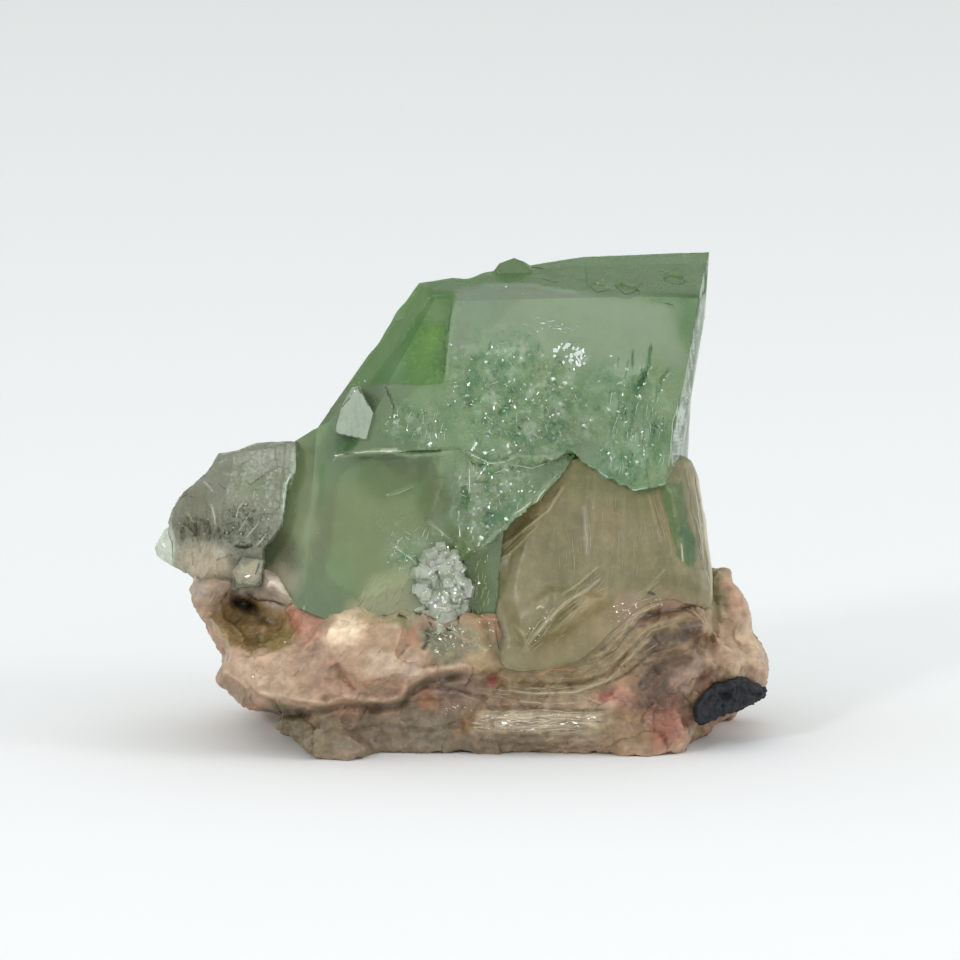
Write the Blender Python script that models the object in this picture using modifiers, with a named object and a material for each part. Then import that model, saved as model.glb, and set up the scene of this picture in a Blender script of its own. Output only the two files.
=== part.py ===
# A cabinet specimen of green apophyllite: a large green crystal with a smaller one below it, a
# pale crystal at the left end, a beige stilbite sheaf under the right side, a cluster of small
# clear crystals, and a peach stilbite matrix that holds a chip of dark basalt.
# Metres, +Z up, front towards -Y. The origin is on the surface that the specimen rests on.
# The shapes are worked out in millimetres and made metres at the end.

import math

import bmesh
import bpy
from mathutils import Matrix, Vector, noise

MM = 0.001
CONTACT_GAP = 0.32       # air left between two pieces that touch
ROOM_EXTRA = 0.12        # what evening out takes off a piece's corners, added to the gap
ROOM_VOXEL = 0.5
NEAR = -14.0             # the depth that blocks reach forward to before their front faces are cut

# Outlines are given as the specimen is seen from the front, as (right, up) of the origin.
# The eye is this far off and this much above the level.
EYE_DISTANCE = 550.0
EYE_ELEVATION = math.radians(9.0)
EYE_AIM = (1.8, 25.7)    # the (right, up) that the eye looks straight at

# The large crystal: its corners as (right, up, depth)
TOP_LEFT = (-4.3, 45.4, 0.0)
TOP_MIDDLE = (12.0, 48.0, 6.0)
TOP_RIGHT = (24.7, 48.5, 9.0)
FRONT_TOP_LEFT = (-2.4, 44.4, -4.6)
FRONT_TOP_MIDDLE = (12.0, 44.1, -5.0)
FRONT_TOP_RIGHT = (24.0, 44.0, -5.2)
FRONT_LOW_LEFT = (-12.7, 28.4, -6.6)
FRONT_LOW_RIGHT = (20.9, 28.0, -7.0)
LEFT_LOW = (-14.2, 31.3, 2.0)
RIGHT_LOW = (23.3, 27.0, 5.0)
REAR_LEFT = (-6.0, 24.0, 15.0)
REAR_MIDDLE = (8.0, 24.0, 18.0)
REAR_RIGHT = (22.0, 24.0, 16.0)
RIGHT_MIDDLE = (24.5, 46.6, -1.0)
CRYSTAL_HEART = (6.0, 32.0, 4.0)
PLATE_RAISED = 0.45      # how far the etched plate stands out from the clear window beside it
TUCK = 0.03              # keeps one block's faces just inside those of the block it is joined to
CORNER_STEEPNESS = 1.1   # of the cut corners that end a square crystal

# The upper crystal with its ragged lower edge, which stands a little over what is below
UPPER_OUTLINE = [
    (-4.6, 47.0), (5.0, 50.0), (26.0, 50.0), (26.0, 24.0), (22.1, 26.6), (21.3, 25.6), (19.4, 25.0),
    (17.3, 24.7), (15.8, 25.4), (14.7, 25.9), (12.8, 27.1), (11.1, 28.7), (9.4, 28.1), (7.7, 27.6),
    (5.6, 27.8), (3.7, 27.0), (2.1, 27.1), (0.8, 28.0), (-0.4, 28.8), (-4.0, 28.7), (-7.8, 28.5),
    (-12.7, 28.4), (-15.2, 31.0),
]
UPPER_BACK = 4.0
WINDOW_BACK = 2.0
WINDOW_OUTLINE = [
    (-0.2, 49.0), (-0.5, 44.4), (-0.9, 42.4), (-1.6, 40.0), (-1.8, 35.4), (-4.5, 35.1), (-8.0, 35.4),
    (-14.0, 34.8), (-14.0, 49.0),
]
BODY_OUTLINE = [
    (-13.2, 50.0), (-13.2, 14.0), (-6.0, 9.5), (21.5, 9.5), (22.6, 20.0), (22.9, 27.0), (26.0, 30.0),
    (26.0, 50.0),
]
BODY_FRONT = -3.4
BODY_BACK = 22.0
BODY_FLOOR = 9.0

# Scale-like steps that etching left on the sloping top, each a six-sided hollow
TOP_STEPS = [(13.7, 44.9, 1.5), (16.4, 44.8, 1.35), (10.0, 45.2, 0.9), (7.6, 45.3, 0.8), (21.2, 45.9, 1.1)]
STEP_DEPTH = 0.3
STEP_LENGTH = 1.7        # how much longer a hollow is down the slope than across it
STEP_SPREAD = 1.1        # how much wider it is at its mouth

# The lower green crystal and its face edges
LOWER_OUTLINE = [
    (-17.0, 29.4), (-14.9, 30.7), (-13.0, 31.6), (-11.0, 30.0), (-0.4, 30.0), (1.4, 28.0), (1.6, 23.7),
    (0.8, 18.1), (-1.6, 17.0), (-4.4, 13.6), (-7.7, 13.2), (-11.2, 12.6), (-13.7, 11.8), (-16.6, 13.0),
    (-19.0, 15.6), (-20.4, 18.8), (-18.7, 20.9), (-18.3, 23.1), (-17.9, 25.8), (-17.2, 26.6),
]
LOWER_FRONT = [(-16.0, 28.2, -5.2), (-4.1, 28.4, -5.9), (-11.0, 13.7, -9.6)]
LOWER_SIDE = [(-4.1, 28.4, -5.9), (0.8, 28.0, -5.3), (-4.1, 17.0, -8.6)]
LOWER_FLANK = [(-14.6, 28.2, -5.35), (-17.0, 28.2, -4.0), (-16.2, 17.0, -8.0)]
LOWER_HEART = (-8.0, 22.0, 0.0)
LOWER_BACK = 5.0

# The broken lobe between the lower crystal and the sheaf
LOBE_LOW_OUTLINE = [
    (-0.6, 29.0), (2.1, 28.0), (7.7, 28.4), (11.2, 28.2), (10.2, 26.5), (8.8, 24.9), (7.8, 23.7),
    (6.3, 23.0), (5.3, 22.2), (4.3, 20.8), (2.8, 19.7), (0.8, 17.9), (-0.3, 17.5), (-1.2, 21.0),
]
LOBE_LOW_FRONT = [(0.0, 27.0, -6.9), (10.0, 27.5, -8.4), (3.0, 19.5, -9.6)]
LOBE_LOW_HEART = (3.0, 24.0, 0.0)
LOBE_LOW_BACK = 1.0
LOBE_LOW_CHIPS = [
    ((7.4, 24.0, -8.9), (0.55, -0.72, -0.42)),
    ((2.6, 19.8, -9.6), (0.35, -0.75, -0.56)),
    ((-0.6, 22.0, -7.9), (-0.62, -0.76, 0.18)),
    ((5.2, 26.8, -8.0), (0.1, -0.86, 0.5)),
]

THROAT_OUTLINE = [(0.1, 20.4), (4.2, 21.4), (3.7, 15.5), (3.5, 12.2), (1.4, 11.4), (0.3, 13.6)]
THROAT_FRONT = -7.7
THROAT_BACK = 2.0

# The small pale face grown on the large crystal's left edge
CORNER_OUTLINE = [(-10.4, 35.0), (-8.8, 32.4), (-9.5, 29.7), (-12.7, 30.4), (-13.2, 31.5), (-12.0, 33.1)]
CORNER_FACE = [(-10.4, 35.0, -6.3), (-9.5, 29.7, -7.3), (-12.7, 30.4, -6.6)]
CORNER_HEART = (-11.0, 32.0, -1.0)
CORNER_BACK = -1.0

# The crystals that are behind: the small one that shows above the top, and three at the rear
BUMP_OUTLINE = [(1.6, 44.5), (3.7, 47.3), (4.4, 47.6), (5.2, 47.9), (6.0, 47.6), (7.2, 47.0), (9.5, 44.5)]
BUMP_FRONT = 2.0
BUMP_BACK = 7.5
BUMP_FACES = [
    [(1.0, 45.0, 8.0), (9.0, 45.0, 8.0), (5.2, 47.9, 4.6)],
    [(9.5, 44.0, 3.0), (9.0, 45.0, 8.5), (6.0, 47.8, 3.4)],
]
BUMP_HEART = (5.2, 45.4, 4.0)
REAR_CUT = 0.9           # how far a rear crystal's corners are cut, in half widths
REAR_CRYSTALS = [
    # middle (right, depth, height), half width, half height, turn and lean in degrees
    ((-8.0, 11.5, 19.0), 5.4, 13.5, 24.0, -9.0),
    ((2.0, 15.0, 13.5), 4.3, 11.0, 50.0, -16.0),
    ((12.5, 14.6, 16.5), 5.0, 12.0, 12.0, -7.0),
    ((19.8, 13.2, 11.5), 3.3, 8.5, 38.0, -12.0),
    ((-15.6, 10.6, 12.0), 3.4, 8.0, 62.0, -14.0),
]

# The pale crystal at the left end, with the two small clear crystals on it
PALE_OUTLINE = [
    (-29.4, 20.4), (-28.9, 22.7), (-27.8, 24.4), (-26.5, 25.4), (-25.1, 26.9), (-24.3, 28.3), (-22.3, 28.6),
    (-20.5, 29.3), (-16.8, 29.5), (-16.7, 28.5), (-17.0, 26.4), (-17.6, 25.8), (-18.0, 23.1),
    (-18.3, 20.9), (-20.0, 18.8), (-20.0, 15.2), (-22.8, 14.8), (-26.4, 15.6), (-28.4, 17.4),
]
PALE_FRONT = [(-17.0, 29.0, -5.9), (-22.6, 28.5, -5.2), (-18.8, 20.0, -8.2)]
PALE_LEFT = [(-22.8, 28.4, -5.2), (-28.6, 22.2, -2.6), (-24.0, 18.0, -8.4)]
PALE_LOW = [(-19.0, 19.8, -8.3), (-25.0, 18.0, -8.0), (-21.0, 14.8, -7.4)]
PALE_TOP = [(-24.3, 28.3, -4.0), (-16.8, 29.5, -5.0), (-19.0, 31.0, 4.0)]
PALE_REAR = [(-24.0, 29.0, 3.0), (-17.0, 30.0, 4.5), (-21.0, 18.0, 9.0)]
PALE_HEART = (-22.5, 22.0, -1.0)
PALE_BACK = 8.0
TIP_OUTLINE = [
    (-30.7, 18.9), (-29.7, 20.7), (-27.9, 21.4), (-26.6, 20.0), (-26.8, 16.9), (-27.6, 16.5),
    (-29.1, 17.2), (-30.5, 18.2),
]
TIP_FACES = [
    [(-30.7, 18.9, -3.6), (-28.6, 20.8, -5.2), (-29.0, 18.4, -5.6)],
    [(-28.6, 20.8, -5.2), (-29.0, 18.4, -5.6), (-27.0, 19.8, -5.4)],
    [(-30.5, 18.2, -3.8), (-29.0, 18.4, -5.6), (-28.4, 16.8, -4.6)],
]
TIP_HEART = (-28.2, 18.8, -3.4)
TIP_BACK = 0.0
CHIP_OUTLINE = [(-22.9, 16.6), (-21.9, 17.9), (-19.9, 17.7), (-20.2, 15.7), (-20.7, 15.2), (-22.4, 15.5)]
CHIP_FACES = [
    [(-22.9, 16.6, -8.8), (-19.9, 17.7, -9.0), (-20.7, 16.1, -9.7)],
    [(-22.9, 16.6, -8.8), (-20.7, 16.1, -9.7), (-21.6, 15.2, -8.9)],
]
CHIP_HEART = (-21.3, 16.5, -7.6)
CHIP_BACK = -6.0

# The small clear crystals in front: middle as (right, up, depth), half size, turn, lean
CLUSTER_CUT = 0.7
CLUSTER_CRYSTALS = [
    ((-3.2, 16.4, -8.6), 1.7, 25.0, 35.0),
    ((-1.2, 17.1, -8.8), 1.6, 60.0, 50.0),
    ((-0.7, 14.9, -9.2), 1.6, 10.0, 20.0),
    ((-2.7, 14.3, -9.4), 1.7, 40.0, 62.0),
    ((-1.9, 12.5, -9.6), 1.3, 75.0, 30.0),
    ((-3.6, 12.9, -9.2), 1.1, 15.0, 45.0),
    ((-0.3, 12.9, -9.0), 1.1, 33.0, 15.0),
    ((-2.0, 18.4, -8.1), 1.2, 5.0, 40.0),
    ((-4.1, 14.7, -9.1), 1.0, 50.0, 25.0),
    ((-3.5, 18.0, -8.1), 0.9, 70.0, 48.0),
    ((-0.3, 18.7, -8.0), 0.9, 22.0, 30.0),
    ((-0.9, 11.3, -9.7), 0.9, 20.0, 52.0),
    ((-2.5, 10.9, -9.8), 0.8, 64.0, 36.0),
    ((-1.5, 15.6, -10.1), 0.8, 33.0, 57.0),
]

# The stilbite sheaf, widening and curling outwards at its foot
SHEAF_OUTLINE = [
    (2.9, 20.5), (3.0, 14.4), (4.0, 8.5), (4.4, 7.2), (9.0, 7.6), (12.3, 8.8), (15.0, 11.6), (17.5, 13.6),
    (21.0, 14.8), (24.8, 12.8), (24.6, 16.5), (23.9, 21.9), (23.2, 26.2), (22.4, 28.0), (11.1, 31.0),
    (7.6, 27.4), (4.0, 24.0),
]
SHEAF_FACES = [
    [(12.0, 28.0, -6.3), (22.0, 27.0, -6.2), (12.0, 12.0, -9.2)],
    [(20.5, 27.0, -6.2), (22.6, 13.0, -9.4), (24.2, 24.0, -2.0)],
    [(8.0, 27.0, -6.4), (4.6, 12.0, -9.6), (2.6, 18.0, -5.0)],
]
SHEAF_HEART = (13.0, 20.0, 0.0)
SHEAF_FOOT = [(4.9, 12.0), (4.6, 7.6), (9.6, 8.2), (12.8, 10.4), (15.2, 13.6), (9.0, 14.6)]
SHEAF_FOOT_FRONT = -10.4
SHEAF_FOOT_BACK = -6.0
SHEAF_BACK = 1.5

# The matrix, as slabs one behind another: outline, depth of its front, depth of its back
MATRIX_SLABS = [
    # the broad upper ledge at the left, below the crystals
    ([(-27.2, 16.4), (-26.9, 13.7), (-26.6, 12.9), (-25.2, 11.0), (-23.9, 9.3), (-24.0, 5.8), (-23.0, 4.1),
      (-21.2, 3.0), (-19.1, 2.9), (-15.2, 1.8), (-12.5, 1.8), (-9.2, 3.4), (-4.7, 4.0), (-1.2, 4.9),
      (1.8, 6.2), (5.0, 7.0), (4.0, 11.6), (0.4, 12.0), (-4.9, 11.6), (-8.0, 12.6), (-13.4, 11.4),
      (-16.0, 12.2), (-19.6, 14.6), (-23.0, 15.4)], -9.9, 9.0),
    # what carries the crystals, further back
    ([(-27.2, 16.0), (-24.0, 6.0), (4.0, 6.0), (8.0, 16.0), (0.0, 19.0), (-14.0, 19.0), (-22.0, 20.0),
      (-26.0, 18.6)], -4.6, 10.0),
    # the part of the ledge that stands out furthest
    ([(-21.4, 8.2), (-21.0, 5.2), (-18.6, 3.9), (-15.0, 2.6), (-12.6, 2.6), (-9.8, 4.4), (-5.0, 5.6),
      (-2.2, 7.4), (-3.6, 10.0), (-8.0, 11.4), (-13.4, 10.6), (-17.0, 9.2)], -11.6, -6.0),
    # the bright lump on it
    ([(-14.2, 9.4), (-12.4, 12.0), (-8.2, 12.2), (-5.0, 11.2), (-4.5, 8.0), (-5.8, 5.9), (-10.2, 5.1),
      (-12.6, 6.6)], -12.5, -6.0),
    # the base band, set back under the ledge
    ([(-19.0, 3.5), (-19.0, 1.4), (-17.5, 0.0), (-16.1, -1.1), (-13.0, -2.4), (22.4, -2.4), (23.2, -0.4),
      (21.0, 6.0), (5.0, 9.0), (-10.0, 8.0)], -8.3, 12.0),
    # its foot, the silky step along its middle, and its right corner
    ([(-16.4, 0.4), (-16.0, -1.4), (-12.2, -3.0), (-9.6, -3.0), (-9.0, -1.0), (-11.0, 1.0)], -11.6, -6.0),
    ([(0.6, 2.9), (0.2, 0.4), (6.0, -0.4), (14.6, 0.2), (15.2, 2.2), (11.0, 3.2)], -10.2, -6.0),
    ([(15.0, 2.0), (15.4, -2.6), (21.6, -2.6), (23.0, 0.4), (20.0, 4.6), (17.0, 5.0)], -9.9, -5.0),
    # the right end, around the basalt
    ([(18.0, -2.0), (22.6, -1.4), (24.6, 0.9), (27.6, 2.9), (30.0, 3.9), (30.6, 5.9), (29.6, 8.0),
      (20.0, 10.0)], -3.0, 10.0),
    ([(18.0, 4.0), (22.4, 1.0), (23.6, 3.6), (25.4, 6.0), (28.0, 6.9), (27.0, 9.0), (20.0, 9.0)], -6.6, 4.0),
    # the lobes under the sheaf at the right
    ([(12.8, 8.2), (10.0, 6.6), (6.0, 5.6), (4.6, 4.6), (14.0, 2.2), (21.0, 1.6), (24.4, 7.0), (25.3, 11.6),
      (22.8, 13.4), (19.4, 13.8), (16.6, 12.4)], -8.6, 6.0),
    ([(17.6, 9.6), (18.4, 8.0), (22.0, 8.6), (24.9, 10.4), (24.9, 12.6), (22.0, 12.2)], -10.3, -5.0),
    ([(5.0, 5.6), (9.6, 6.6), (13.4, 6.4), (17.0, 5.2), (17.6, 3.4), (10.0, 3.8)], -9.8, -5.0),
    # the lump behind at the right end
    ([(22.4, 17.0), (24.8, 17.4), (26.6, 17.1), (27.2, 15.7), (28.5, 13.2), (28.8, 10.3), (29.9, 8.9),
      (30.5, 7.0), (30.5, 5.9), (29.4, 4.8), (26.0, 2.2), (22.0, 2.0)], -0.6, 9.5),
    # the rear, with a step half way up
    ([(-18.0, 2.0), (-22.4, 4.4), (-23.0, 9.0), (-22.6, 14.0), (-14.0, 17.5), (4.0, 18.5), (18.0, 17.0),
      (25.5, 12.0), (26.5, 7.0), (23.0, -2.0), (-16.6, -2.0)], 4.0, 14.5),
    ([(-17.0, 2.0), (-20.5, 7.0), (-16.0, 12.0), (-6.0, 11.0), (2.0, 13.5), (15.0, 12.4), (22.5, 8.0),
      (21.0, 0.0), (-14.0, 0.0)], 10.0, 18.4),
    ([(-12.0, 2.4), (-9.0, 8.6), (-2.0, 9.4), (4.0, 7.4), (6.0, 2.0)], 14.0, 20.6),
    ([(8.0, 2.4), (9.0, 7.0), (14.0, 9.0), (18.6, 6.0), (17.0, 2.0)], 14.0, 19.8),
]
# Hollows in its front: middle (right, up, depth), half sizes across, in depth and upwards
MATRIX_PITS = [
    ((-21.0, 11.7, -9.8), (3.9, 5.2, 2.5)),
    ((-22.0, 13.4, -8.0), (1.5, 5.0, 1.2)),
    ((-18.2, 10.8, -10.4), (2.0, 2.6, 1.5)),
    ((18.4, 13.2, -9.6), (2.3, 2.6, 1.7)),
    ((24.6, 9.4, -6.8), (1.4, 2.8, 1.2)),
    ((-16.6, 1.7, -12.2), (2.2, 1.9, 0.8)),
    ((-4.0, 2.6, -10.8), (5.4, 1.6, 1.0)),
]
MATRIX_TRIANGLES = 4700
MATRIX_VOXEL = 0.7
MATRIX_SMOOTHING = 3
PIT_SMOOTHING = 2
MATRIX_GROWN = -0.1      # evens out what smoothing and roughening do to its size
REST_HEIGHT = 0.0

# Rough rock: size of each kind of unevenness, and how far it moves the surface
BROAD_LUMPS = (9.0, 0.9)
KNOBS = (3.7, 0.45)
KNOB_MIDDLE = 0.6
GRAIN = (1.6, 0.32)
ROCK_SHIFT = Vector((7.3, 3.1, 5.7))

# The sheaf's grooves, drawn out along its height
SHEAF_TRIANGLES = 1750
SHEAF_VOXEL = 0.55
SHEAF_SMOOTHING = 5
SHEAF_GROWN = 0.35
GROOVE_DEPTH = 0.24
GROOVE_SIZES = Vector((1.1, 2.0, 14.0))

# The basalt chip in the matrix's right end
BASALT_OUTLINE = [
    (23.3, 3.0), (24.4, 4.4), (25.5, 5.2), (27.9, 5.9), (29.1, 5.2), (30.3, 4.7), (30.0, 4.0), (27.7, 3.0),
    (25.4, 2.2), (23.6, 1.3),
]
BASALT_FRONT = [(23.6, 2.2, -8.6), (29.8, 4.6, -5.0), (26.6, 5.6, -6.6)]
BASALT_HEART = (26.5, 4.0, -1.0)
BASALT_BACK = 0.5
BASALT_TRIANGLES = 340
BASALT_VOXEL = 0.4
BASALT_SMOOTHING = 3
BASALT_GROWN = 0.16
PITTING = (1.1, 0.22)

# How many triangles each piece's room in its neighbours has
ROOM_TRIANGLES = {"green": 1300, "pale": 400, "cluster": 360, "sheaf": 700, "basalt": 260}

# Colours are red, green and blue in linear light, each with its roughness
FINISHES = {
    "green_apophyllite": ((0.16, 0.30, 0.14), 0.12),
    "pale_apophyllite": ((0.30, 0.31, 0.26), 0.3),
    "clear_apophyllite_cluster": ((0.42, 0.46, 0.38), 0.1),
    "stilbite_sheaf": ((0.30, 0.24, 0.15), 0.35),
    "stilbite_matrix": ((0.50, 0.32, 0.23), 0.55),
    "basalt_chip": ((0.03, 0.032, 0.04), 0.8),
}


def eye_axes():
    """The eye's place, and the way that is up in its view."""
    forward = Vector((0.0, math.cos(EYE_ELEVATION), -math.sin(EYE_ELEVATION)))
    up = Vector((0.0, math.sin(EYE_ELEVATION), math.cos(EYE_ELEVATION)))
    aim = Vector((EYE_AIM[0], 0.0, 0.0)) + up * EYE_AIM[1]
    return aim - forward * EYE_DISTANCE, up


EYE, EYE_UP = eye_axes()


def seen(right, up, depth):
    """The point at this depth that shows at (right, up) on the front outline."""
    on_plane = Vector((right, 0.0, 0.0)) + EYE_UP * up
    ray = on_plane - EYE
    return EYE + ray * ((depth - EYE.y) / ray.y)


def emptied_scene():
    for old in list(bpy.data.objects):
        bpy.data.objects.remove(old, do_unlink=True)
    pieces = bpy.data.collections.new("green_apophyllite_specimen")
    cutters = bpy.data.collections.new("cutters")
    bpy.context.scene.collection.children.link(pieces)
    bpy.context.scene.collection.children.link(cutters)
    return pieces, cutters


PIECES, CUTTERS = emptied_scene()


def material(name, colour, roughness):
    made = bpy.data.materials.new(name)
    made.use_nodes = True
    shader = made.node_tree.nodes["Principled BSDF"]
    shader.inputs["Base Color"].default_value = (*colour, 1.0)
    shader.inputs["Roughness"].default_value = roughness
    shader.inputs["Metallic"].default_value = 0.0
    return made


def new_object(name, bm, collection=None):
    bmesh.ops.recalc_face_normals(bm, faces=bm.faces)
    mesh = bpy.data.meshes.new(name)
    bm.to_mesh(mesh)
    bm.free()
    made = bpy.data.objects.new(name, mesh)
    (collection or CUTTERS).objects.link(made)
    made.hide_render = collection is None
    made.display_type = "WIRE" if collection is None else "TEXTURED"
    return made


def settled(obj):
    """Turns what the object's modifiers make into its own mesh."""
    graph = bpy.context.evaluated_depsgraph_get()
    graph.update()
    mesh = bpy.data.meshes.new_from_object(obj.evaluated_get(graph))
    obj.modifiers.clear()
    obj.data = mesh
    return obj


def combined(obj, other, operation):
    """The object joined with the other or cut by it."""
    modifier = obj.modifiers.new(operation.title(), "BOOLEAN")
    modifier.operation = operation
    modifier.object = other
    modifier.solver = "EXACT"
    return settled(obj)


def dropped(*objects):
    for obj in objects:
        bpy.data.objects.remove(obj, do_unlink=True)


def plane_through(corners, heart):
    """A face's point and outward direction, from three seen corners and a point inside."""
    a, b, c = (seen(*corner) for corner in corners)
    normal = (b - a).cross(c - a).normalized()
    if normal.dot(seen(*heart) - a) > 0.0:
        normal.negate()
    return a, normal


def trim(bm, point, normal):
    """Takes away what is outside the plane, and closes the cut."""
    geometry = bm.verts[:] + bm.edges[:] + bm.faces[:]
    cut = bmesh.ops.bisect_plane(bm, geom=geometry, plane_co=point, plane_no=normal, clear_outer=True)
    rim = [item for item in cut["geom_cut"] if isinstance(item, bmesh.types.BMEdge)]
    if rim:
        bmesh.ops.edgenet_fill(bm, edges=rim)


def slab(outline, front, back, planes=()):
    """A block with this outline as seen from the front, trimmed by the planes."""
    bm = bmesh.new()
    near = [bm.verts.new(seen(right, up, front)) for right, up in outline]
    face = bm.faces.new(near)
    far = bmesh.ops.extrude_face_region(bm, geom=[face])["geom"]
    moved = [item for item in far if isinstance(item, bmesh.types.BMVert)]
    for vert in moved:
        ray = vert.co - EYE
        vert.co = EYE + ray * ((back - EYE.y) / ray.y)
    bmesh.ops.recalc_face_normals(bm, faces=bm.faces)
    for point, normal in planes:
        trim(bm, point, normal)
    return bm


def joined(name, shapes):
    """One cutter object, the union of these bmeshes."""
    first = new_object(name, shapes[0])
    for shape in shapes[1:]:
        other = new_object(name + "_more", shape)
        combined(first, other, "UNION")
        dropped(other)
    return first


def block_crystal(middle, half_width, half_height, turn, lean, cut):
    """A square crystal with corners cut by this many half widths, as apophyllite grows."""
    bm = bmesh.new()
    bmesh.ops.create_cube(bm, size=2.0)
    bmesh.ops.scale(bm, vec=(half_width, half_width, half_height), verts=bm.verts)
    reach = half_height - half_width * cut
    for across in (1.0, -1.0):
        for along in (1.0, -1.0):
            for end in (1.0, -1.0):
                normal = Vector((across, along, end * CORNER_STEEPNESS)).normalized()
                trim(bm, Vector((across * half_width, 0.0, end * reach)), normal)
    placing = Matrix.Translation(middle) @ Matrix.Rotation(math.radians(turn), 4, "Z")
    placing = placing @ Matrix.Rotation(math.radians(lean), 4, "X")
    bm.transform(placing)
    return bm


def large_crystal_planes():
    """The large crystal's faces: front, top, sides and rear."""
    triples = {
        "front": (FRONT_TOP_LEFT, FRONT_TOP_RIGHT, FRONT_LOW_LEFT),
        "top": (TOP_LEFT, TOP_MIDDLE, FRONT_TOP_MIDDLE),
        "top right": (TOP_MIDDLE, TOP_RIGHT, FRONT_TOP_RIGHT),
        "left front": (TOP_LEFT, LEFT_LOW, FRONT_TOP_LEFT),
        "left rear": (TOP_LEFT, LEFT_LOW, REAR_LEFT),
        "rear left": (TOP_LEFT, TOP_MIDDLE, REAR_MIDDLE),
        "rear right": (TOP_MIDDLE, TOP_RIGHT, REAR_RIGHT),
        "right front": (FRONT_TOP_RIGHT, FRONT_LOW_RIGHT, RIGHT_LOW),
        "right": (TOP_RIGHT, RIGHT_MIDDLE, RIGHT_LOW),
    }
    return {name: plane_through(corners, CRYSTAL_HEART) for name, corners in triples.items()}


def top_step(right, up, size):
    """A shallow six-sided hollow on the sloping top."""
    point, normal = large_crystal_planes()["top right"]
    ray = seen(right, up, 0.0) - EYE
    middle = EYE + ray * ((point - EYE).dot(normal) / ray.dot(normal))
    bm = bmesh.new()
    bmesh.ops.create_cone(
        bm,
        cap_ends=True,
        segments=6,
        radius1=size,
        radius2=size * STEP_SPREAD,
        depth=2.0 * STEP_DEPTH,
    )
    bmesh.ops.scale(bm, vec=(1.0, STEP_LENGTH, 1.0), verts=bm.verts)
    facing = normal.to_track_quat("Z", "Y").to_matrix().to_4x4()
    bm.transform(Matrix.Translation(middle) @ facing)
    return bm


def large_crystal():
    """The large crystal: its body, and the upper part that overhangs what is below."""
    planes = large_crystal_planes()
    sides = [planes[name] for name in planes if name != "front"]
    tucked = [(point - normal * TUCK, normal) for point, normal in sides]
    front_point, front_normal = planes["front"]
    plate_front = (front_point + front_normal * PLATE_RAISED, front_normal)
    floor = (Vector((0.0, 0.0, BODY_FLOOR)), Vector((0.0, 0.0, -1.0)))
    return [
        slab(BODY_OUTLINE, BODY_FRONT, BODY_BACK, sides + [floor]),
        slab(UPPER_OUTLINE, NEAR, UPPER_BACK, tucked + [plate_front]),
    ]


def window_recess():
    """What is cut away to leave the clear window lower than the plate beside it."""
    point, normal = large_crystal_planes()["front"]
    return slab(WINDOW_OUTLINE, NEAR, WINDOW_BACK, [(point, -normal)])


def lower_crystal():
    """The lower green crystal, the broken lobe beside it, and what fills the gap under that."""
    planes = [plane_through(face, LOWER_HEART) for face in (LOWER_FRONT, LOWER_SIDE, LOWER_FLANK)]
    lobe_planes = [plane_through(LOBE_LOW_FRONT, LOBE_LOW_HEART)]
    for place, direction in LOBE_LOW_CHIPS:
        lobe_planes.append((seen(*place), Vector(direction).normalized()))
    return [
        slab(LOWER_OUTLINE, NEAR, LOWER_BACK, planes),
        slab(LOBE_LOW_OUTLINE, NEAR, LOBE_LOW_BACK, lobe_planes),
        slab(THROAT_OUTLINE, THROAT_FRONT, THROAT_BACK),
    ]


def corner_crystal():
    face = plane_through(CORNER_FACE, CORNER_HEART)
    return slab(CORNER_OUTLINE, NEAR, CORNER_BACK, [face])


def rear_crystals():
    planes = [plane_through(face, BUMP_HEART) for face in BUMP_FACES]
    shapes = [slab(BUMP_OUTLINE, BUMP_FRONT, BUMP_BACK, planes)]
    for middle, half_width, half_height, turn, lean in REAR_CRYSTALS:
        shapes.append(block_crystal(Vector(middle), half_width, half_height, turn, lean, REAR_CUT))
    return shapes


def green_apophyllite():
    shapes = large_crystal() + lower_crystal() + [corner_crystal()] + rear_crystals()
    crystal = joined("green_apophyllite", shapes[:2])
    window = new_object("window_recess", window_recess())
    combined(crystal, window, "DIFFERENCE")
    dropped(window)
    for shape in shapes[2:]:
        more = new_object("more_crystal", shape)
        combined(crystal, more, "UNION")
        dropped(more)
    for right, up, size in TOP_STEPS:
        step = new_object("top_step", top_step(right, up, size))
        combined(crystal, step, "DIFFERENCE")
        dropped(step)
    return crystal


def pale_apophyllite():
    faces = (PALE_FRONT, PALE_LEFT, PALE_LOW, PALE_TOP, PALE_REAR)
    planes = [plane_through(face, PALE_HEART) for face in faces]
    tip_planes = [plane_through(face, TIP_HEART) for face in TIP_FACES]
    chip_planes = [plane_through(face, CHIP_HEART) for face in CHIP_FACES]
    return joined("pale_apophyllite", [
        slab(PALE_OUTLINE, NEAR, PALE_BACK, planes),
        slab(TIP_OUTLINE, NEAR, TIP_BACK, tip_planes),
        slab(CHIP_OUTLINE, NEAR, CHIP_BACK, chip_planes),
    ])


def clear_cluster():
    shapes = []
    for place, half, turn, lean in CLUSTER_CRYSTALS:
        shapes.append(block_crystal(seen(*place), half, half, turn, lean, CLUSTER_CUT))
    return joined("clear_apophyllite_cluster", shapes)


def remeshed(obj, voxel):
    modifier = obj.modifiers.new("Remesh", "REMESH")
    modifier.mode = "VOXEL"
    modifier.voxel_size = voxel
    return settled(obj)


def smoothed(obj, rounds):
    modifier = obj.modifiers.new("Smooth", "SMOOTH")
    modifier.iterations = rounds
    return settled(obj)


def decimated(obj, triangles):
    """Brings the mesh down to about this many triangles."""
    count = sum(len(polygon.vertices) - 2 for polygon in obj.data.polygons)
    modifier = obj.modifiers.new("Decimate", "DECIMATE")
    modifier.ratio = min(1.0, triangles / count)
    modifier.use_collapse_triangulate = True
    return settled(obj)


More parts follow.
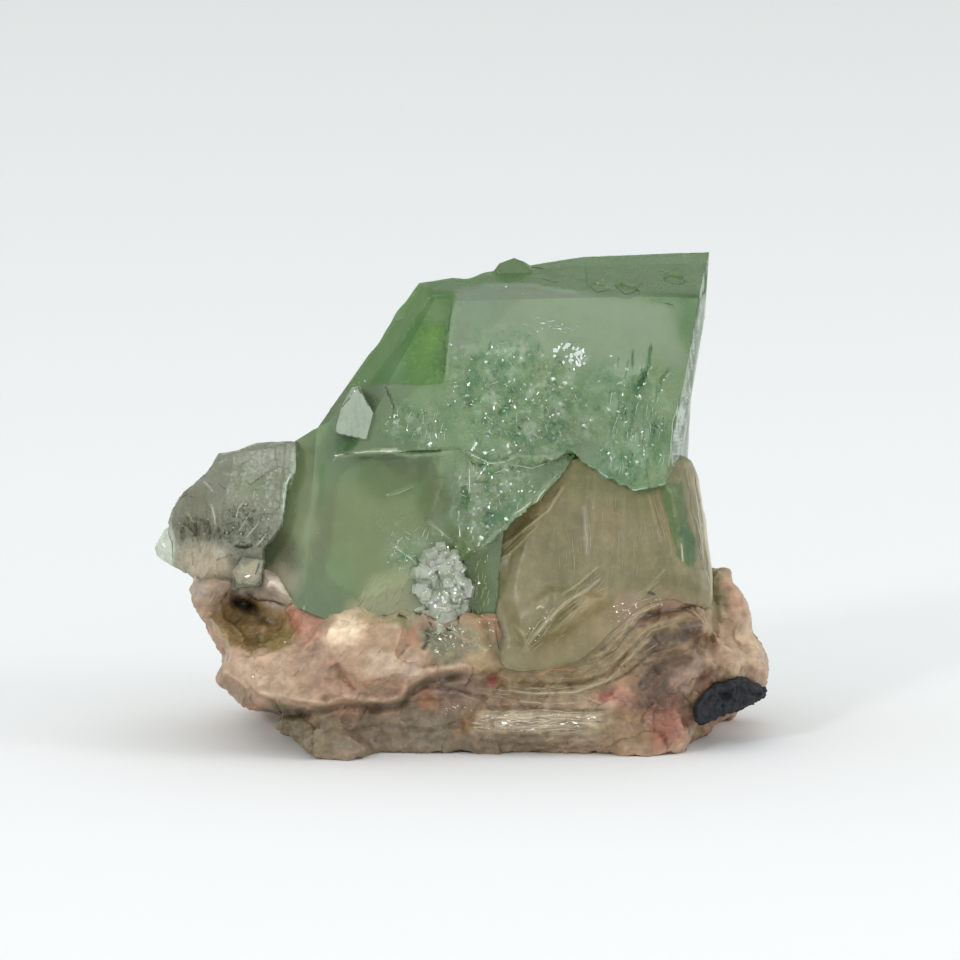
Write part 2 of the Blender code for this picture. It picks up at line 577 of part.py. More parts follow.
def rough_rock(point):
    """How far a point of rock moves: broad lumps, then knobs with creases between them."""
    broad = noise.noise(point / BROAD_LUMPS[0] + ROCK_SHIFT)
    knobs = 1.0 - abs(noise.noise(point / KNOBS[0] + ROCK_SHIFT * 2.0)) * 2.0
    grain = noise.noise(point / GRAIN[0] + ROCK_SHIFT * 3.0)
    return broad * BROAD_LUMPS[1] + (knobs - KNOB_MIDDLE) * KNOBS[1] + grain * GRAIN[1] + MATRIX_GROWN


def groove(point):
    """How far a point of the sheaf moves, in long upright grooves."""
    place = Vector(along / size for along, size in zip(point, GROOVE_SIZES))
    return noise.noise(place) * GROOVE_DEPTH + SHEAF_GROWN


def pitting(point):
    """How far a point of the basalt moves."""
    return noise.noise(point / PITTING[0]) * PITTING[1] + BASALT_GROWN


def displaced(obj, amount):
    """Moves each vertex along its normal by amount(point), in millimetres."""
    mesh = obj.data
    moved = [vert.co + vert.normal * amount(vert.co) for vert in mesh.vertices]
    for vert, place in zip(mesh.vertices, moved):
        vert.co = place
    return obj


def merged_slabs(name, slabs):
    """The slabs as one mesh, still passing through each other, for a remesh to join."""
    whole = bmesh.new()
    for outline, front, back in slabs:
        bm = slab(outline, front, back)
        piece = bpy.data.meshes.new("piece")
        bm.to_mesh(piece)
        bm.free()
        whole.from_mesh(piece)
        bpy.data.meshes.remove(piece)
    return new_object(name, whole)


def pressed(obj, pits):
    """Pushes the front surface back to the far wall of each egg-shaped pit."""
    for place, half in pits:
        middle = seen(*place)
        for vert in obj.data.vertices:
            across = (vert.co.x - middle.x) / half[0]
            upward = (vert.co.z - middle.z) / half[2]
            room = 1.0 - across * across - upward * upward
            if room > 0.0:
                wall = middle.y + half[1] * math.sqrt(room)
                if middle.y - half[1] < vert.co.y < wall:
                    vert.co.y = wall
    return obj


def room_for(obj, triangles):
    """A copy of the object, larger by the gap all round, to cut its neighbours with."""
    copy = bpy.data.objects.new(obj.name + "_room", obj.data.copy())
    CUTTERS.objects.link(copy)
    copy.hide_render = True
    copy.display_type = "WIRE"
    remeshed(copy, ROOM_VOXEL)
    displaced(copy, lambda point: CONTACT_GAP + ROOM_EXTRA)
    return decimated(copy, triangles)


def stilbite_sheaf():
    planes = [plane_through(face, SHEAF_HEART) for face in SHEAF_FACES]
    sheaf = joined("stilbite_sheaf", [
        slab(SHEAF_OUTLINE, NEAR, SHEAF_BACK, planes),
        slab(SHEAF_FOOT, SHEAF_FOOT_FRONT, SHEAF_FOOT_BACK),
    ])
    remeshed(sheaf, SHEAF_VOXEL)
    smoothed(sheaf, SHEAF_SMOOTHING)
    displaced(sheaf, groove)
    return decimated(sheaf, SHEAF_TRIANGLES)


def stilbite_matrix():
    matrix = remeshed(merged_slabs("stilbite_matrix", MATRIX_SLABS), MATRIX_VOXEL)
    smoothed(matrix, MATRIX_SMOOTHING)
    pressed(matrix, MATRIX_PITS)
    smoothed(matrix, PIT_SMOOTHING)
    displaced(matrix, rough_rock)
    remeshed(matrix, MATRIX_VOXEL)
    return decimated(matrix, MATRIX_TRIANGLES)


def basalt_chip():
    shape = slab(BASALT_OUTLINE, NEAR, BASALT_BACK, [plane_through(BASALT_FRONT, BASALT_HEART)])
    chip = remeshed(new_object("basalt_chip", shape), BASALT_VOXEL)
    smoothed(chip, BASALT_SMOOTHING)
    displaced(chip, pitting)
    return decimated(chip, BASALT_TRIANGLES)


def cut_flat(obj):
    """Cuts the underside flat at the height that the specimen rests at."""
    bm = bmesh.new()
    bm.from_mesh(obj.data)
    trim(bm, Vector((0.0, 0.0, REST_HEIGHT)), Vector((0.0, 0.0, -1.0)))
    bm.to_mesh(obj.data)
    bm.free()
    return obj


def hand_over(obj, name):
    """Moves the finished piece to the specimen, in metres, with its own material."""
    colour, roughness = FINISHES[name]
    CUTTERS.objects.unlink(obj)
    PIECES.objects.link(obj)
    obj.name = name
    obj.hide_render = False
    obj.display_type = "TEXTURED"
    obj.data.transform(Matrix.Scale(MM, 4))
    obj.data.materials.clear()
    obj.data.materials.append(material(name, colour, roughness))
    return obj


def cut_by(obj, neighbours):
    for room in neighbours:
        combined(obj, room, "DIFFERENCE")
    return obj


def face_groups(bm):
    """The faces in groups that hold together along their edges."""
    left = set(bm.faces)
    groups = []
    while left:
        stack = [left.pop()]
        group = [stack[0]]
        while stack:
            for edge in stack.pop().edges:
                for face in edge.link_faces:
                    if face in left:
                        left.remove(face)
                        stack.append(face)
                        group.append(face)
        groups.append(group)
    return sorted(groups, key=len, reverse=True)


def largest_body(obj):
    """Leaves only the largest body of the mesh, where cutting freed some crumbs."""
    bm = bmesh.new()
    bm.from_mesh(obj.data)
    for group in face_groups(bm)[1:]:
        bmesh.ops.delete(bm, geom=group, context="FACES")
    bm.to_mesh(obj.data)
    bm.free()
    return obj


def build():
    green = green_apophyllite()
    pale = pale_apophyllite()
    cluster = clear_cluster()
    sheaf = stilbite_sheaf()
    basalt = basalt_chip()
    matrix = stilbite_matrix()

    green_room = room_for(green, ROOM_TRIANGLES["green"])
    cut_by(pale, [green_room])
    largest_body(pale)
    pale_room = room_for(pale, ROOM_TRIANGLES["pale"])
    cut_by(cluster, [green_room])
    largest_body(cluster)
    cluster_room = room_for(cluster, ROOM_TRIANGLES["cluster"])
    cut_by(sheaf, [green_room, cluster_room])
    largest_body(sheaf)
    sheaf_room = room_for(sheaf, ROOM_TRIANGLES["sheaf"])
    basalt_room = room_for(basalt, ROOM_TRIANGLES["basalt"])
    cut_by(matrix, [green_room, pale_room, cluster_room, sheaf_room, basalt_room])
    cut_flat(matrix)
    largest_body(matrix)

    hand_over(green, "green_apophyllite")
    hand_over(pale, "pale_apophyllite")
    hand_over(cluster, "clear_apophyllite_cluster")
    hand_over(sheaf, "stilbite_sheaf")
    hand_over(matrix, "stilbite_matrix")
    hand_over(basalt, "basalt_chip")
    dropped(green_room, pale_room, cluster_room, sheaf_room, basalt_room)


build()
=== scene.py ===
import itertools
import math

import bmesh
import bpy
import numpy as np
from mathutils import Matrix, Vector, noise
from mathutils.bvhtree import BVHTree


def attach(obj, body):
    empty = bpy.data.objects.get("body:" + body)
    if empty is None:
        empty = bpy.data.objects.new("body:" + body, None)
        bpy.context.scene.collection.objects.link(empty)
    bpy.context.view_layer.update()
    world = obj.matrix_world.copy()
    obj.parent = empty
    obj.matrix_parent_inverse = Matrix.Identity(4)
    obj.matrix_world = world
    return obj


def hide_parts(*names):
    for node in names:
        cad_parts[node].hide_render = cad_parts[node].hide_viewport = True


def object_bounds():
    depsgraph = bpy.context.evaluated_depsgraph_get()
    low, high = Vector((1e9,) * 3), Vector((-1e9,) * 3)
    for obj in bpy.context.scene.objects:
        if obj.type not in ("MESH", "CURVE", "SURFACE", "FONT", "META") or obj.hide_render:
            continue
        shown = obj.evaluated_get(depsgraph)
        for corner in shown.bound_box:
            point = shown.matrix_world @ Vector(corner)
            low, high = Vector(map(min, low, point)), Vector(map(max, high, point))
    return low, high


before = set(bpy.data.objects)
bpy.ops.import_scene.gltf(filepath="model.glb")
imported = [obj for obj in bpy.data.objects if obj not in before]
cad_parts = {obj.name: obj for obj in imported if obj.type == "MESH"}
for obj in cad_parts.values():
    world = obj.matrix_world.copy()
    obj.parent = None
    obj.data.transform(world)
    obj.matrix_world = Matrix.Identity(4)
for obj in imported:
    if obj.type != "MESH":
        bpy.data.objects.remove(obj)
cadLow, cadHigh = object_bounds()

# Green apophyllite on stilbite. Shapes are worked out in millimetres and made metres when a piece is finished.
mm = 0.001
body = "root"
sideways = (1.0, 0.0, 0.0)

view = {
    "distance": 550.0,              # eye to the middle of the specimen
    "elevation": math.radians(9.0),
    "aim": (1.8, 25.7),             # what the eye looks straight at, as (right, up)
    "width": 96.0,                  # how much the frame takes in at that distance
    "sensor": 36.0,
}
forward = np.array([0.0, math.cos(view["elevation"]), -math.sin(view["elevation"])])
upward = np.array([0.0, math.sin(view["elevation"]), math.cos(view["elevation"])])
eye = np.array([view["aim"][0], 0.0, 0.0]) + upward * view["aim"][1] - forward * view["distance"]


def seen(right, up, depth):
    # the point at this depth that shows at (right, up) from the front
    ray = np.array([right, 0.0, 0.0]) + upward * up - eye
    return Vector(eye + ray * ((depth - eye[1]) / ray[1]))


def spotsOf(points):
    # where points show from the front, as (right, up)
    fromEye = points - eye
    shrink = view["distance"] / (fromEye @ forward)
    return np.stack([eye[0] + fromEye[:, 0] * shrink, eye @ upward + (fromEye @ upward) * shrink], axis=1)


def linear(red, green, blue):
    # a colour as picked on screen, 0 to 255, in the renderer's own scale
    shares = [value / 255.0 for value in (red, green, blue)]
    return np.array([share / 12.92 if share <= 0.04045 else ((share + 0.055) / 1.055) ** 2.4 for share in shares])


# Masks and height fields over points

def softStep(low, high, values):
    share = np.clip((values - low) / (high - low), 0.0, 1.0)
    return share * share * (3.0 - 2.0 * share)


def noiseAt(points, size, seed, octaves=3, stretch=(1.0, 1.0, 1.0)):
    places = points / (size * np.array(stretch)) + seed * 17.31
    return np.array([noise.fractal(place, 1.0, 2.0, octaves) for place in places.tolist()])


def wobbleOf(points, seed, amount, size, otherSize):
    # a wavering shift across the view, so that no zone has a ruled edge
    waves = [noiseAt(points, size, seed, 3), noiseAt(points, otherSize, seed + 1, 3)]
    return np.stack(waves, axis=1) * amount


def blob(spots, middle, half, turn=0.0, soft=0.45):
    # 1 inside an oval, 0 outside, with a soft rim
    angle = math.radians(turn)
    across = spots - np.array(middle)
    along = across @ np.array([math.cos(angle), math.sin(angle)])
    aside = across @ np.array([-math.sin(angle), math.cos(angle)])
    return 1.0 - softStep(1.0 - soft, 1.0 + soft, np.hypot(along / half[0], aside / half[1]))


def pathDistance(spots, path):
    # how far each spot is from a broken line, and how far along it that is
    nearest = np.full(len(spots), 1e9)
    along = np.zeros(len(spots))
    start = 0.0
    for a, b in zip(np.array(path[:-1], float), np.array(path[1:], float)):
        run = b - a
        length = np.hypot(*run)
        share = np.clip((spots - a) @ run / (length * length), 0.0, 1.0)
        away = np.hypot(*(spots - a - share[:, None] * run).T)
        closer = away < nearest
        nearest[closer] = away[closer]
        along[closer] = start + share[closer] * length
        start += length
    return nearest, along / start


def inside(spots, outline, soft):
    # 1 inside an outline, 0 outside, soft at its edge
    x, y = spots.T
    within = np.zeros(len(spots), bool)
    for (ax, ay), (bx, by) in zip(outline, outline[1:] + outline[:1]):
        crosses = (ay > y) != (by > y)
        within ^= crosses & (x < (bx - ax) * (y - ay) / ((by - ay) or 1e-9) + ax)
    away = pathDistance(spots, outline + outline[:1])[0]
    return softStep(-soft, soft, np.where(within, away, -away))


def stroke(spots, path, width, ends=0.12):
    # 1 along a line, 0 beside it, thinning out towards both ends
    away, along = pathDistance(spots, path)
    fade = softStep(0.0, ends, along) * softStep(0.0, ends, 1.0 - along)
    return (1.0 - softStep(0.0, width, away)) * fade


def within(spots, shape, soft):
    # shape is an outline, or an oval given as (middle, half sizes, turn)
    if isinstance(shape, list):
        return inside(spots, shape, soft)
    middle, half, turn = shape
    return blob(spots, middle, half, turn, min(soft / min(half), 0.95))


def zoneShape(look, name):
    return next(shape for title, shape, *others in look["zones"] if title == name)


def chips(spots, size, tilt, seed):
    # a broken surface: cells that each slope their own way
    cells = np.floor(spots / size)
    best = np.full(len(spots), 1e9)
    height = np.zeros(len(spots))
    for stepX in (-1, 0, 1):
        for stepY in (-1, 0, 1):
            cell = cells + (stepX, stepY)
            draws = [
                np.modf(np.abs(np.sin(cell @ np.array([127.1, 311.7]) + seed * 13.7 + k * 71.3)) * 43758.5)[0]
                for k in range(4)
            ]
            offset = spots - (cell + np.stack(draws[:2], axis=1)) * size
            away = (offset ** 2).sum(axis=1)
            closer = away < best
            best[closer] = away[closer]
            slope = offset[:, 0] * (draws[2] - 0.5) + offset[:, 1] * (draws[3] - 0.5)
            height[closer] = (slope * 2.0 * tilt)[closer]
    return height


def facets(points, size, tilt, seed):
    # a rock's broken faces: cells in space that each slope their own way
    places = points / size + seed * 5.7
    sites = np.array([tuple(noise.voronoi(place)[1][0]) for place in places.tolist()])
    rows = ((12.9, 78.2, 37.7), (93.9, 67.3, 21.1), (45.1, 11.3, 83.4))
    leans = np.stack([np.sin(sites @ np.array(row)) for row in rows], axis=1)
    return ((places - sites) * leans).sum(axis=1) * size * tilt


# Meshes

def newPiece(name, bm):
    mesh = bpy.data.meshes.new(name)
    bm.to_mesh(mesh)
    bm.free()
    piece = bpy.data.objects.new(name, mesh)
    bpy.context.scene.collection.objects.link(piece)
    return piece


def cadMesh(node, merged):
    # a solid's mesh in millimetres
    bm = bmesh.new()
    bm.from_mesh(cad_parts[node].data)
    if merged:
        bmesh.ops.remove_doubles(bm, verts=bm.verts, dist=1e-7)
    bmesh.ops.scale(bm, vec=(1.0 / mm,) * 3, verts=bm.verts)
    return bm


def cadCopy(node, name):
    piece = newPiece(name, cadMesh(node, merged=True))
    piece.data.materials.clear()
    return piece


def settled(piece):
    # the piece with its modifiers made part of its mesh
    graph = bpy.context.evaluated_depsgraph_get()
    graph.update()
    mesh = bpy.data.meshes.new_from_object(piece.evaluated_get(graph))
    piece.modifiers.clear()
    piece.data = mesh
    return piece


def modified(piece, kind, **settings):
    modifier = piece.modifiers.new(kind.title(), kind)
    for key, value in settings.items():
        setattr(modifier, key, value)
    return settled(piece)


def softCopy(node, name, voxel, rounds):
    # the solid as one even skin with slightly rounded edges
    piece = modified(cadCopy(node, name), "REMESH", mode="VOXEL", voxel_size=voxel)
    return modified(piece, "SMOOTH", iterations=rounds, factor=0.5)


def sharpCopy(node, name, depth):
    # the solid as a fine mesh that keeps the crystal's edges
    return modified(
        cadCopy(node, name), "REMESH",
        mode="SHARP", octree_depth=depth, scale=0.97, sharpness=1.0, use_remove_disconnected=False,
    )


def refined(piece, chosen):
    # splits the faces whose corners are all chosen
    bm = bmesh.new()
    bm.from_mesh(piece.data)
    bm.verts.ensure_lookup_table()
    edges = [edge for edge in bm.edges if chosen[edge.verts[0].index] and chosen[edge.verts[1].index]]
    bmesh.ops.subdivide_edges(bm, edges=edges, cuts=1, use_grid_fill=True)
    bm.to_mesh(piece.data)
    bm.free()


def grownOn(points, nodes, reach=1.0, sink=0.12):
    # moves a surface that nearly touches these solids a little way into them
    points = points.copy()
    for node in nodes:
        bm = cadMesh(node, merged=False)
        tree = BVHTree.FromBMesh(bm)
        corners = np.array([vert.co for vert in bm.verts])
        bm.free()
        close = np.all((points > corners.min(0) - reach) & (points < corners.max(0) + reach), axis=1)
        for index in np.flatnonzero(close):
            place = Vector(points[index])
            found, normal, _, away = tree.find_nearest(place, reach)
            if found is not None and (place - found).dot(normal) > 0.0:
                share = float(softStep(reach, reach * 0.55, away))
                points[index] = place.lerp(found - normal * sink, share)
    return points


def vectorsOf(piece, what="co"):
    values = np.empty(len(piece.data.vertices) * 3)
    piece.data.vertices.foreach_get(what, values)
    return values.reshape(-1, 3)


def shapeOf(piece):
    return vectorsOf(piece), vectorsOf(piece, "normal")


def moveTo(piece, points):
    piece.data.vertices.foreach_set("co", np.ascontiguousarray(points, dtype=np.float32).ravel())
    piece.data.update()


def frontness(normals):
    # 1 where a surface faces the front, 0 where it faces away
    return softStep(-0.05, 0.45, -(normals @ forward))


def paint(piece, name, values):
    # keeps a mask or a colour on the mesh for the material to read
    values = np.clip(values, 0.0, 1.0)
    if values.ndim == 1:
        layer = piece.data.attributes.new(name, "FLOAT", "POINT")
        layer.data.foreach_set("value", values.astype(np.float32))
    else:
        layer = piece.data.attributes.new(name, "FLOAT_COLOR", "POINT")
        whole = np.concatenate([values, np.ones((len(values), 1))], axis=1)
        layer.data.foreach_set("color", whole.astype(np.float32).ravel())


def raised(spots, look):
    # how far the mounds and strokes stand out, in millimetres; a mound may name a zone and take its shape
    out = np.zeros(len(spots))
    for shape, height, soft in look["mounds"]:
        out += within(spots, zoneShape(look, shape) if isinstance(shape, str) else shape, soft) * height
    for path, width, height, colour, strength in look["strokes"]:
        out += stroke(spots, path, width) * height
    return out


def shifted(points, right, up):
    return points + np.outer(right, sideways) + np.outer(up, upward)


def pulled(points, pulls):
    # drags the surface across the view; a pull is a spot or a path, how far it moves, and how far that reaches
    spots = spotsOf(points)
    moved = np.zeros_like(spots)
    for where, move, reach in pulls:
        if np.ndim(where) == 1:
            share = softStep(reach, 0.0, np.hypot(*(spots - np.array(where)).T))
        else:
            share = stroke(spots, where, reach)
        moved += share[:, None] * np.array(move)
    return shifted(points, moved[:, 0], moved[:, 1])


def levelled(points, facing, paths, reach, most=2.5):
    # draws the front to the depths of paths of (right, up, depth), so that two pieces meet flush along them
    for path in paths:
        spots = spotsOf(points)
        nearest, depth = np.full(len(spots), 1e9), np.zeros(len(spots))
        for first, last in zip(np.array(path, float), np.array(path, float)[1:]):
            way = last - first
            along = np.clip((spots - first[:2]) @ way[:2] / (way[:2] @ way[:2]), 0.0, 1.0)
            away = np.hypot(*(spots - first[:2] - np.outer(along, way[:2])).T)
            depth = np.where(away < nearest, first[2] + along * way[2], depth)
            nearest = np.minimum(away, nearest)
        missing = depth - points[:, 1]
        share = softStep(reach, reach * 0.3, nearest) * facing * softStep(most * 1.6, most, np.abs(missing))
        points = points + np.outer(share * missing / forward[1], forward)
    return points


def frayed(points, path, reach, amount, size, seed):
    # a ragged edge: the surface near a path shifts to and fro across the view
    share = stroke(spotsOf(points), path, reach) * amount
    return shifted(points, noiseAt(points, size, seed, 3) * share, noiseAt(points, size, seed + 1, 3) * share)


def baseColours(look, shade):
    return np.outer(shade, linear(*look["base"]) * look["gain"])


def laidOver(colours, look, colour, cover):
    # a colour as seen, times the gain that makes up for what the material swallows
    cover = cover[:, None]
    return colours * (1.0 - cover) + linear(*colour) * look["gain"] * cover


def tinted(colours, spots, wobble, share, look, lines):
    # lays the zones, then lines, over the base
    for name, shape, soft, colour, strength in look["zones"]:
        cover = within(spots + wobble * min(soft, 1.0), shape, soft) * strength * share
        colours = laidOver(colours, look, colour, cover)
    for path, width, height, colour, strength in lines:
        colours = laidOver(colours, look, colour, stroke(spots, path, width) * strength * share)
    return np.clip(colours, 0.0, 1.0)


def finished(piece, material, node, sharp=None):
    # into metres, inside the solids' box, with its material, hung under the body's empty, and hiding the solid it
    # stands for, if any
    moveTo(piece, np.clip(vectorsOf(piece), np.array(cadLow) / mm, np.array(cadHigh) / mm) * mm)
    piece.data.materials.clear()
    piece.data.materials.append(material)
    piece.data.shade_smooth()
    if sharp is not None:
        piece.data.set_sharp_from_angle(angle=math.radians(sharp))
    if node:
        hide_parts(node)
    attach(piece, body)
    print("finished", piece.name, len(piece.data.polygons), "faces")
    return piece


# Shader nodes and the groups that more than one material uses

def addNode(tree, kind, inputs=None, **settings):
    node = tree.nodes.new(kind)
    for key, value in settings.items():
        setattr(node, key, value)
    for key, value in (inputs or {}).items():
        socket = node.inputs[key]
        if isinstance(value, bpy.types.NodeSocket):
            tree.links.new(value, socket)
        else:
            socket.default_value = value
    return node


def groupNode(tree, group, inputs):
    return addNode(tree, "ShaderNodeGroup", inputs, node_tree=group).outputs


def mixedColour(tree, share, first, second, blend="MIX"):
    inputs = {0: share, 6: first, 7: second}
    return addNode(tree, "ShaderNodeMix", inputs, data_type="RGBA", blend_type=blend).outputs[2]


def multiplied(tree, first, second):
    return mixedColour(tree, 1.0, first, second, "MULTIPLY")


def greyOf(tree, value):
    return addNode(tree, "ShaderNodeCombineColor", {0: value, 1: value, 2: value}).outputs["Color"]


def ranged(tree, value, low, high, toLow, toHigh):
    inputs = {"Value": value, "From Min": low, "From Max": high, "To Min": toLow, "To Max": toHigh}
    return addNode(tree, "ShaderNodeMapRange", inputs).outputs["Result"]


def maths(tree, operation, first, second=0.0):
    return addNode(tree, "ShaderNodeMath", {0: first, 1: second}, operation=operation).outputs[0]


def times(tree, first, second):
    return maths(tree, "MULTIPLY", first, second)


def vectorMaths(tree, operation, inputs):
    return addNode(tree, "ShaderNodeVectorMath", inputs, operation=operation).outputs[0]


def noiseFac(tree, place, size, detail, roughness, bend=0.0):
    return addNode(tree, "ShaderNodeTexNoise", {
        "Vector": place, "Scale": size, "Detail": detail, "Roughness": roughness, "Distortion": bend,
    }).outputs["Fac"]


def bumped(tree, height, strength, depth, normal=None):
    inputs = {"Height": height, "Strength": strength, "Distance": depth * mm}
    if normal is not None:
        inputs["Normal"] = normal
    return addNode(tree, "ShaderNodeBump", inputs).outputs["Normal"]


def meshColour(tree, name):
    return addNode(tree, "ShaderNodeAttribute", attribute_name=name).outputs["Color"]


def meshMask(tree, name):
    return addNode(tree, "ShaderNodeAttribute", attribute_name=name).outputs["Fac"]


def newGroup(name, **values):
    # a shader group with a Vector and these number inputs
    group = bpy.data.node_groups.new(name, "ShaderNodeTree")
    group.interface.new_socket(name="Vector", in_out="INPUT", socket_type="NodeSocketVector")
    for title, value in values.items():
        socket = group.interface.new_socket(name=title, in_out="INPUT", socket_type="NodeSocketFloat")
        socket.default_value = value
    return group, group.nodes.new("NodeGroupInput").outputs


def putOut(group, kind="Float", **results):
    for title in results:
        group.interface.new_socket(name=title, in_out="OUTPUT", socket_type="NodeSocket" + kind)
    made = group.nodes.new("NodeGroupOutput")
    for title, value in results.items():
        group.links.new(value, made.inputs[title])
    return group


def makeGrainGroup():
    # fine mottling and bumps of a crystalline rock: Shade lightens or darkens, Height goes to a bump
    group, given = newGroup("mineralGrain", Size=500.0, Contrast=0.3)
    coarse = noiseFac(group, given["Vector"], given["Size"], 7.0, 0.62)
    fine = noiseFac(group, given["Vector"], times(group, given["Size"], 5.3), 4.0, 0.7)
    both = maths(group, "ADD", times(group, coarse, 0.65), times(group, fine, 0.35))
    swing = times(group, maths(group, "SUBTRACT", both, 0.5), times(group, given["Contrast"], 4.0))
    return putOut(group, Shade=maths(group, "ADD", swing, 1.0), Height=both)


def makeFibreGroup():
    # silky striations: noise drawn out along one way
    group, given = newGroup("silkyFibre", Size=900.0, Bend=0.0)
    strands = noiseFac(group, given["Vector"], given["Size"], 5.0, 0.6, given["Bend"])
    return putOut(group, Shade=ranged(group, strands, 0.25, 0.75, 0.0, 1.0), Height=strands)


def makeGlitterGroup():
    # tiny facets: each cell leans its own way, more where Amount is high
    group, given = newGroup("facetGlitter", Size=4000.0, Amount=0.3)
    cells = addNode(group, "ShaderNodeTexVoronoi", {"Vector": given["Vector"], "Scale": given["Size"]})
    lean = vectorMaths(group, "SUBTRACT", {0: cells.outputs["Color"], 1: (0.5, 0.5, 0.5)})
    lean = vectorMaths(group, "SCALE", {0: lean, "Scale": given["Amount"]})
    facing = addNode(group, "ShaderNodeNewGeometry").outputs["Normal"]
    leaning = vectorMaths(group, "ADD", {0: lean, 1: facing})
    return putOut(group, "Vector", Normal=vectorMaths(group, "NORMALIZE", {0: leaning}))


def makeMottleGroup():
    # cloudy patches inside a crystal: Dark and Pale go from 0 to 1, more of both where Cloud is high
    group, given = newGroup("cloudMottle", Size=700.0, Cloud=0.5)
    broad = noiseFac(group, given["Vector"], given["Size"], 6.0, 0.68, 0.6)
    fine = noiseFac(group, given["Vector"], times(group, given["Size"], 2.3), 5.0, 0.7, 1.2)
    dark = ranged(group, broad, 0.5, 0.36, 0.0, 1.0)
    pale = ranged(group, fine, 0.52, 0.7, 0.0, 1.0)
    return putOut(group, Dark=times(group, dark, given["Cloud"]), Pale=times(group, pale, given["Cloud"]))


grainGroup = makeGrainGroup()
glitterGroup = makeGlitterGroup()
mottleGroup = makeMottleGroup()
fibreGroup = makeFibreGroup()


def newMaterial(name, numbers):
    # plain numbers go straight on the shader's own sockets
    material = bpy.data.materials.new(name)
    material.use_nodes = True
    shader = material.node_tree.nodes["Principled BSDF"]
    for key, value in numbers.items():
        shader.inputs[key].default_value = value
    return material, material.node_tree, shader.inputs


def placeOn(tree, scale=(1.0, 1.0, 1.0)):
    coords = addNode(tree, "ShaderNodeTexCoord").outputs["Object"]
    return addNode(tree, "ShaderNodeMapping", {"Vector": coords, "Scale": scale}).outputs["Vector"]


def grainOn(tree, place, size, contrast):
    return groupNode(tree, grainGroup, {"Vector": place, "Size": size, "Contrast": contrast})


def mineralColour(tree, place, look, shade, cloud, milkiest):
    # the tint on the mesh, shaded by the grain, with deeper and milkier patches
    mottle = groupNode(tree, mottleGroup, {"Vector": place, "Size": look["mottleSize"], "Cloud": cloud})
    colour = multiplied(tree, meshColour(tree, "tint"), greyOf(tree, shade))
    colour = mixedColour(tree, mottle["Dark"], colour, multiplied(tree, colour, (*look["deep"], 1.0)))
    return mixedColour(tree, times(tree, mottle["Pale"], milkiest), colour, (*look["milky"], 1.0))


def glitterOn(tree, place, look, amount):
    return groupNode(tree, glitterGroup, {
        "Vector": place, "Size": look["glitterSize"], "Amount": times(tree, amount, look["glitter"]),
    })["Normal"]


def crystalMaterial(name, look):
    # glassy crystal: tint, frost and cloud come from the mesh, absorption and transmission are plain
    material, tree, shader = newMaterial(
        name, {"Transmission Weight": look["transmission"], "IOR": 1.535, "Metallic": 0.0},
    )
    place = placeOn(tree)
    grain = grainOn(tree, place, look["grainSize"], look["contrast"])
    cloud = meshMask(tree, "cloud")
    frost = ranged(tree, meshMask(tree, "frost"), 0.0, 1.0, look["clear"], look["frosted"])
    glitter = glitterOn(tree, place, look, cloud)
    bump = bumped(tree, grain["Height"], look["bump"], look["bumpDepth"], glitter)
    tree.links.new(mineralColour(tree, place, look, grain["Shade"], cloud, 0.55), shader["Base Color"])
    tree.links.new(frost, shader["Roughness"])
    tree.links.new(bump, shader["Normal"])
    absorption = addNode(tree, "ShaderNodeVolumeAbsorption", {
        "Color": (*look["absorbColour"], 1.0), "Density": look["absorbDensity"],
    })
    tree.links.new(absorption.outputs["Volume"], tree.nodes["Material Output"].inputs["Volume"])
    return material


def rockMaterial(name, look):
    # waxy, slightly see-through rock: colours and gloss come from the mesh, grain and fibres from noise
    material, tree, shader = newMaterial(name, {
        "Subsurface Weight": look["glow"], "Subsurface Radius": look["glowRadius"],
        "Subsurface Scale": look["glowDepth"] * mm, "IOR": 1.5, "Metallic": 0.0, "Transmission Weight": 0.0,
    })
    place = placeOn(tree)
    grain = grainOn(tree, place, look["grainSize"], look["contrast"])
    fibre = groupNode(tree, fibreGroup, {
        "Vector": placeOn(tree, look["stretch"]), "Size": look["fibreSize"], "Bend": look["fibreBend"],
    })
    gloss = meshMask(tree, "gloss")
    swing = look["fibreContrast"]
    shade = times(tree, grain["Shade"], ranged(tree, fibre["Shade"], 0.0, 1.0, 1.0 - swing, 1.0 + swing))
    shine = ranged(tree, gloss, 0.0, 1.0, look["matt"], look["shiny"])
    glitter = glitterOn(tree, place, look, gloss)
    bump = bumped(tree, grain["Height"], look["bump"], look["bumpDepth"], glitter)
    bump = bumped(tree, fibre["Height"], look["fibreBump"], look["bumpDepth"], bump)
    tree.links.new(mineralColour(tree, place, look, shade, look["mottle"], 0.5), shader["Base Color"])
    tree.links.new(shine, shader["Roughness"])
    tree.links.new(bump, shader["Normal"])
    return material


def pearlMaterial(name, roughness):
    material, tree, shader = newMaterial(
        name, {"IOR": 1.6, "Metallic": 0.0, "Roughness": roughness, "Transmission Weight": 0.0},
    )
    grain = grainOn(tree, placeOn(tree), 900.0, 0.12)
    colour = multiplied(tree, meshColour(tree, "tint"), greyOf(tree, grain["Shade"]))
    tree.links.new(colour, shader["Base Color"])
    tree.links.new(bumped(tree, grain["Height"], 0.2, 0.1), shader["Normal"])
    return material


# Stage, camera and light, in metres

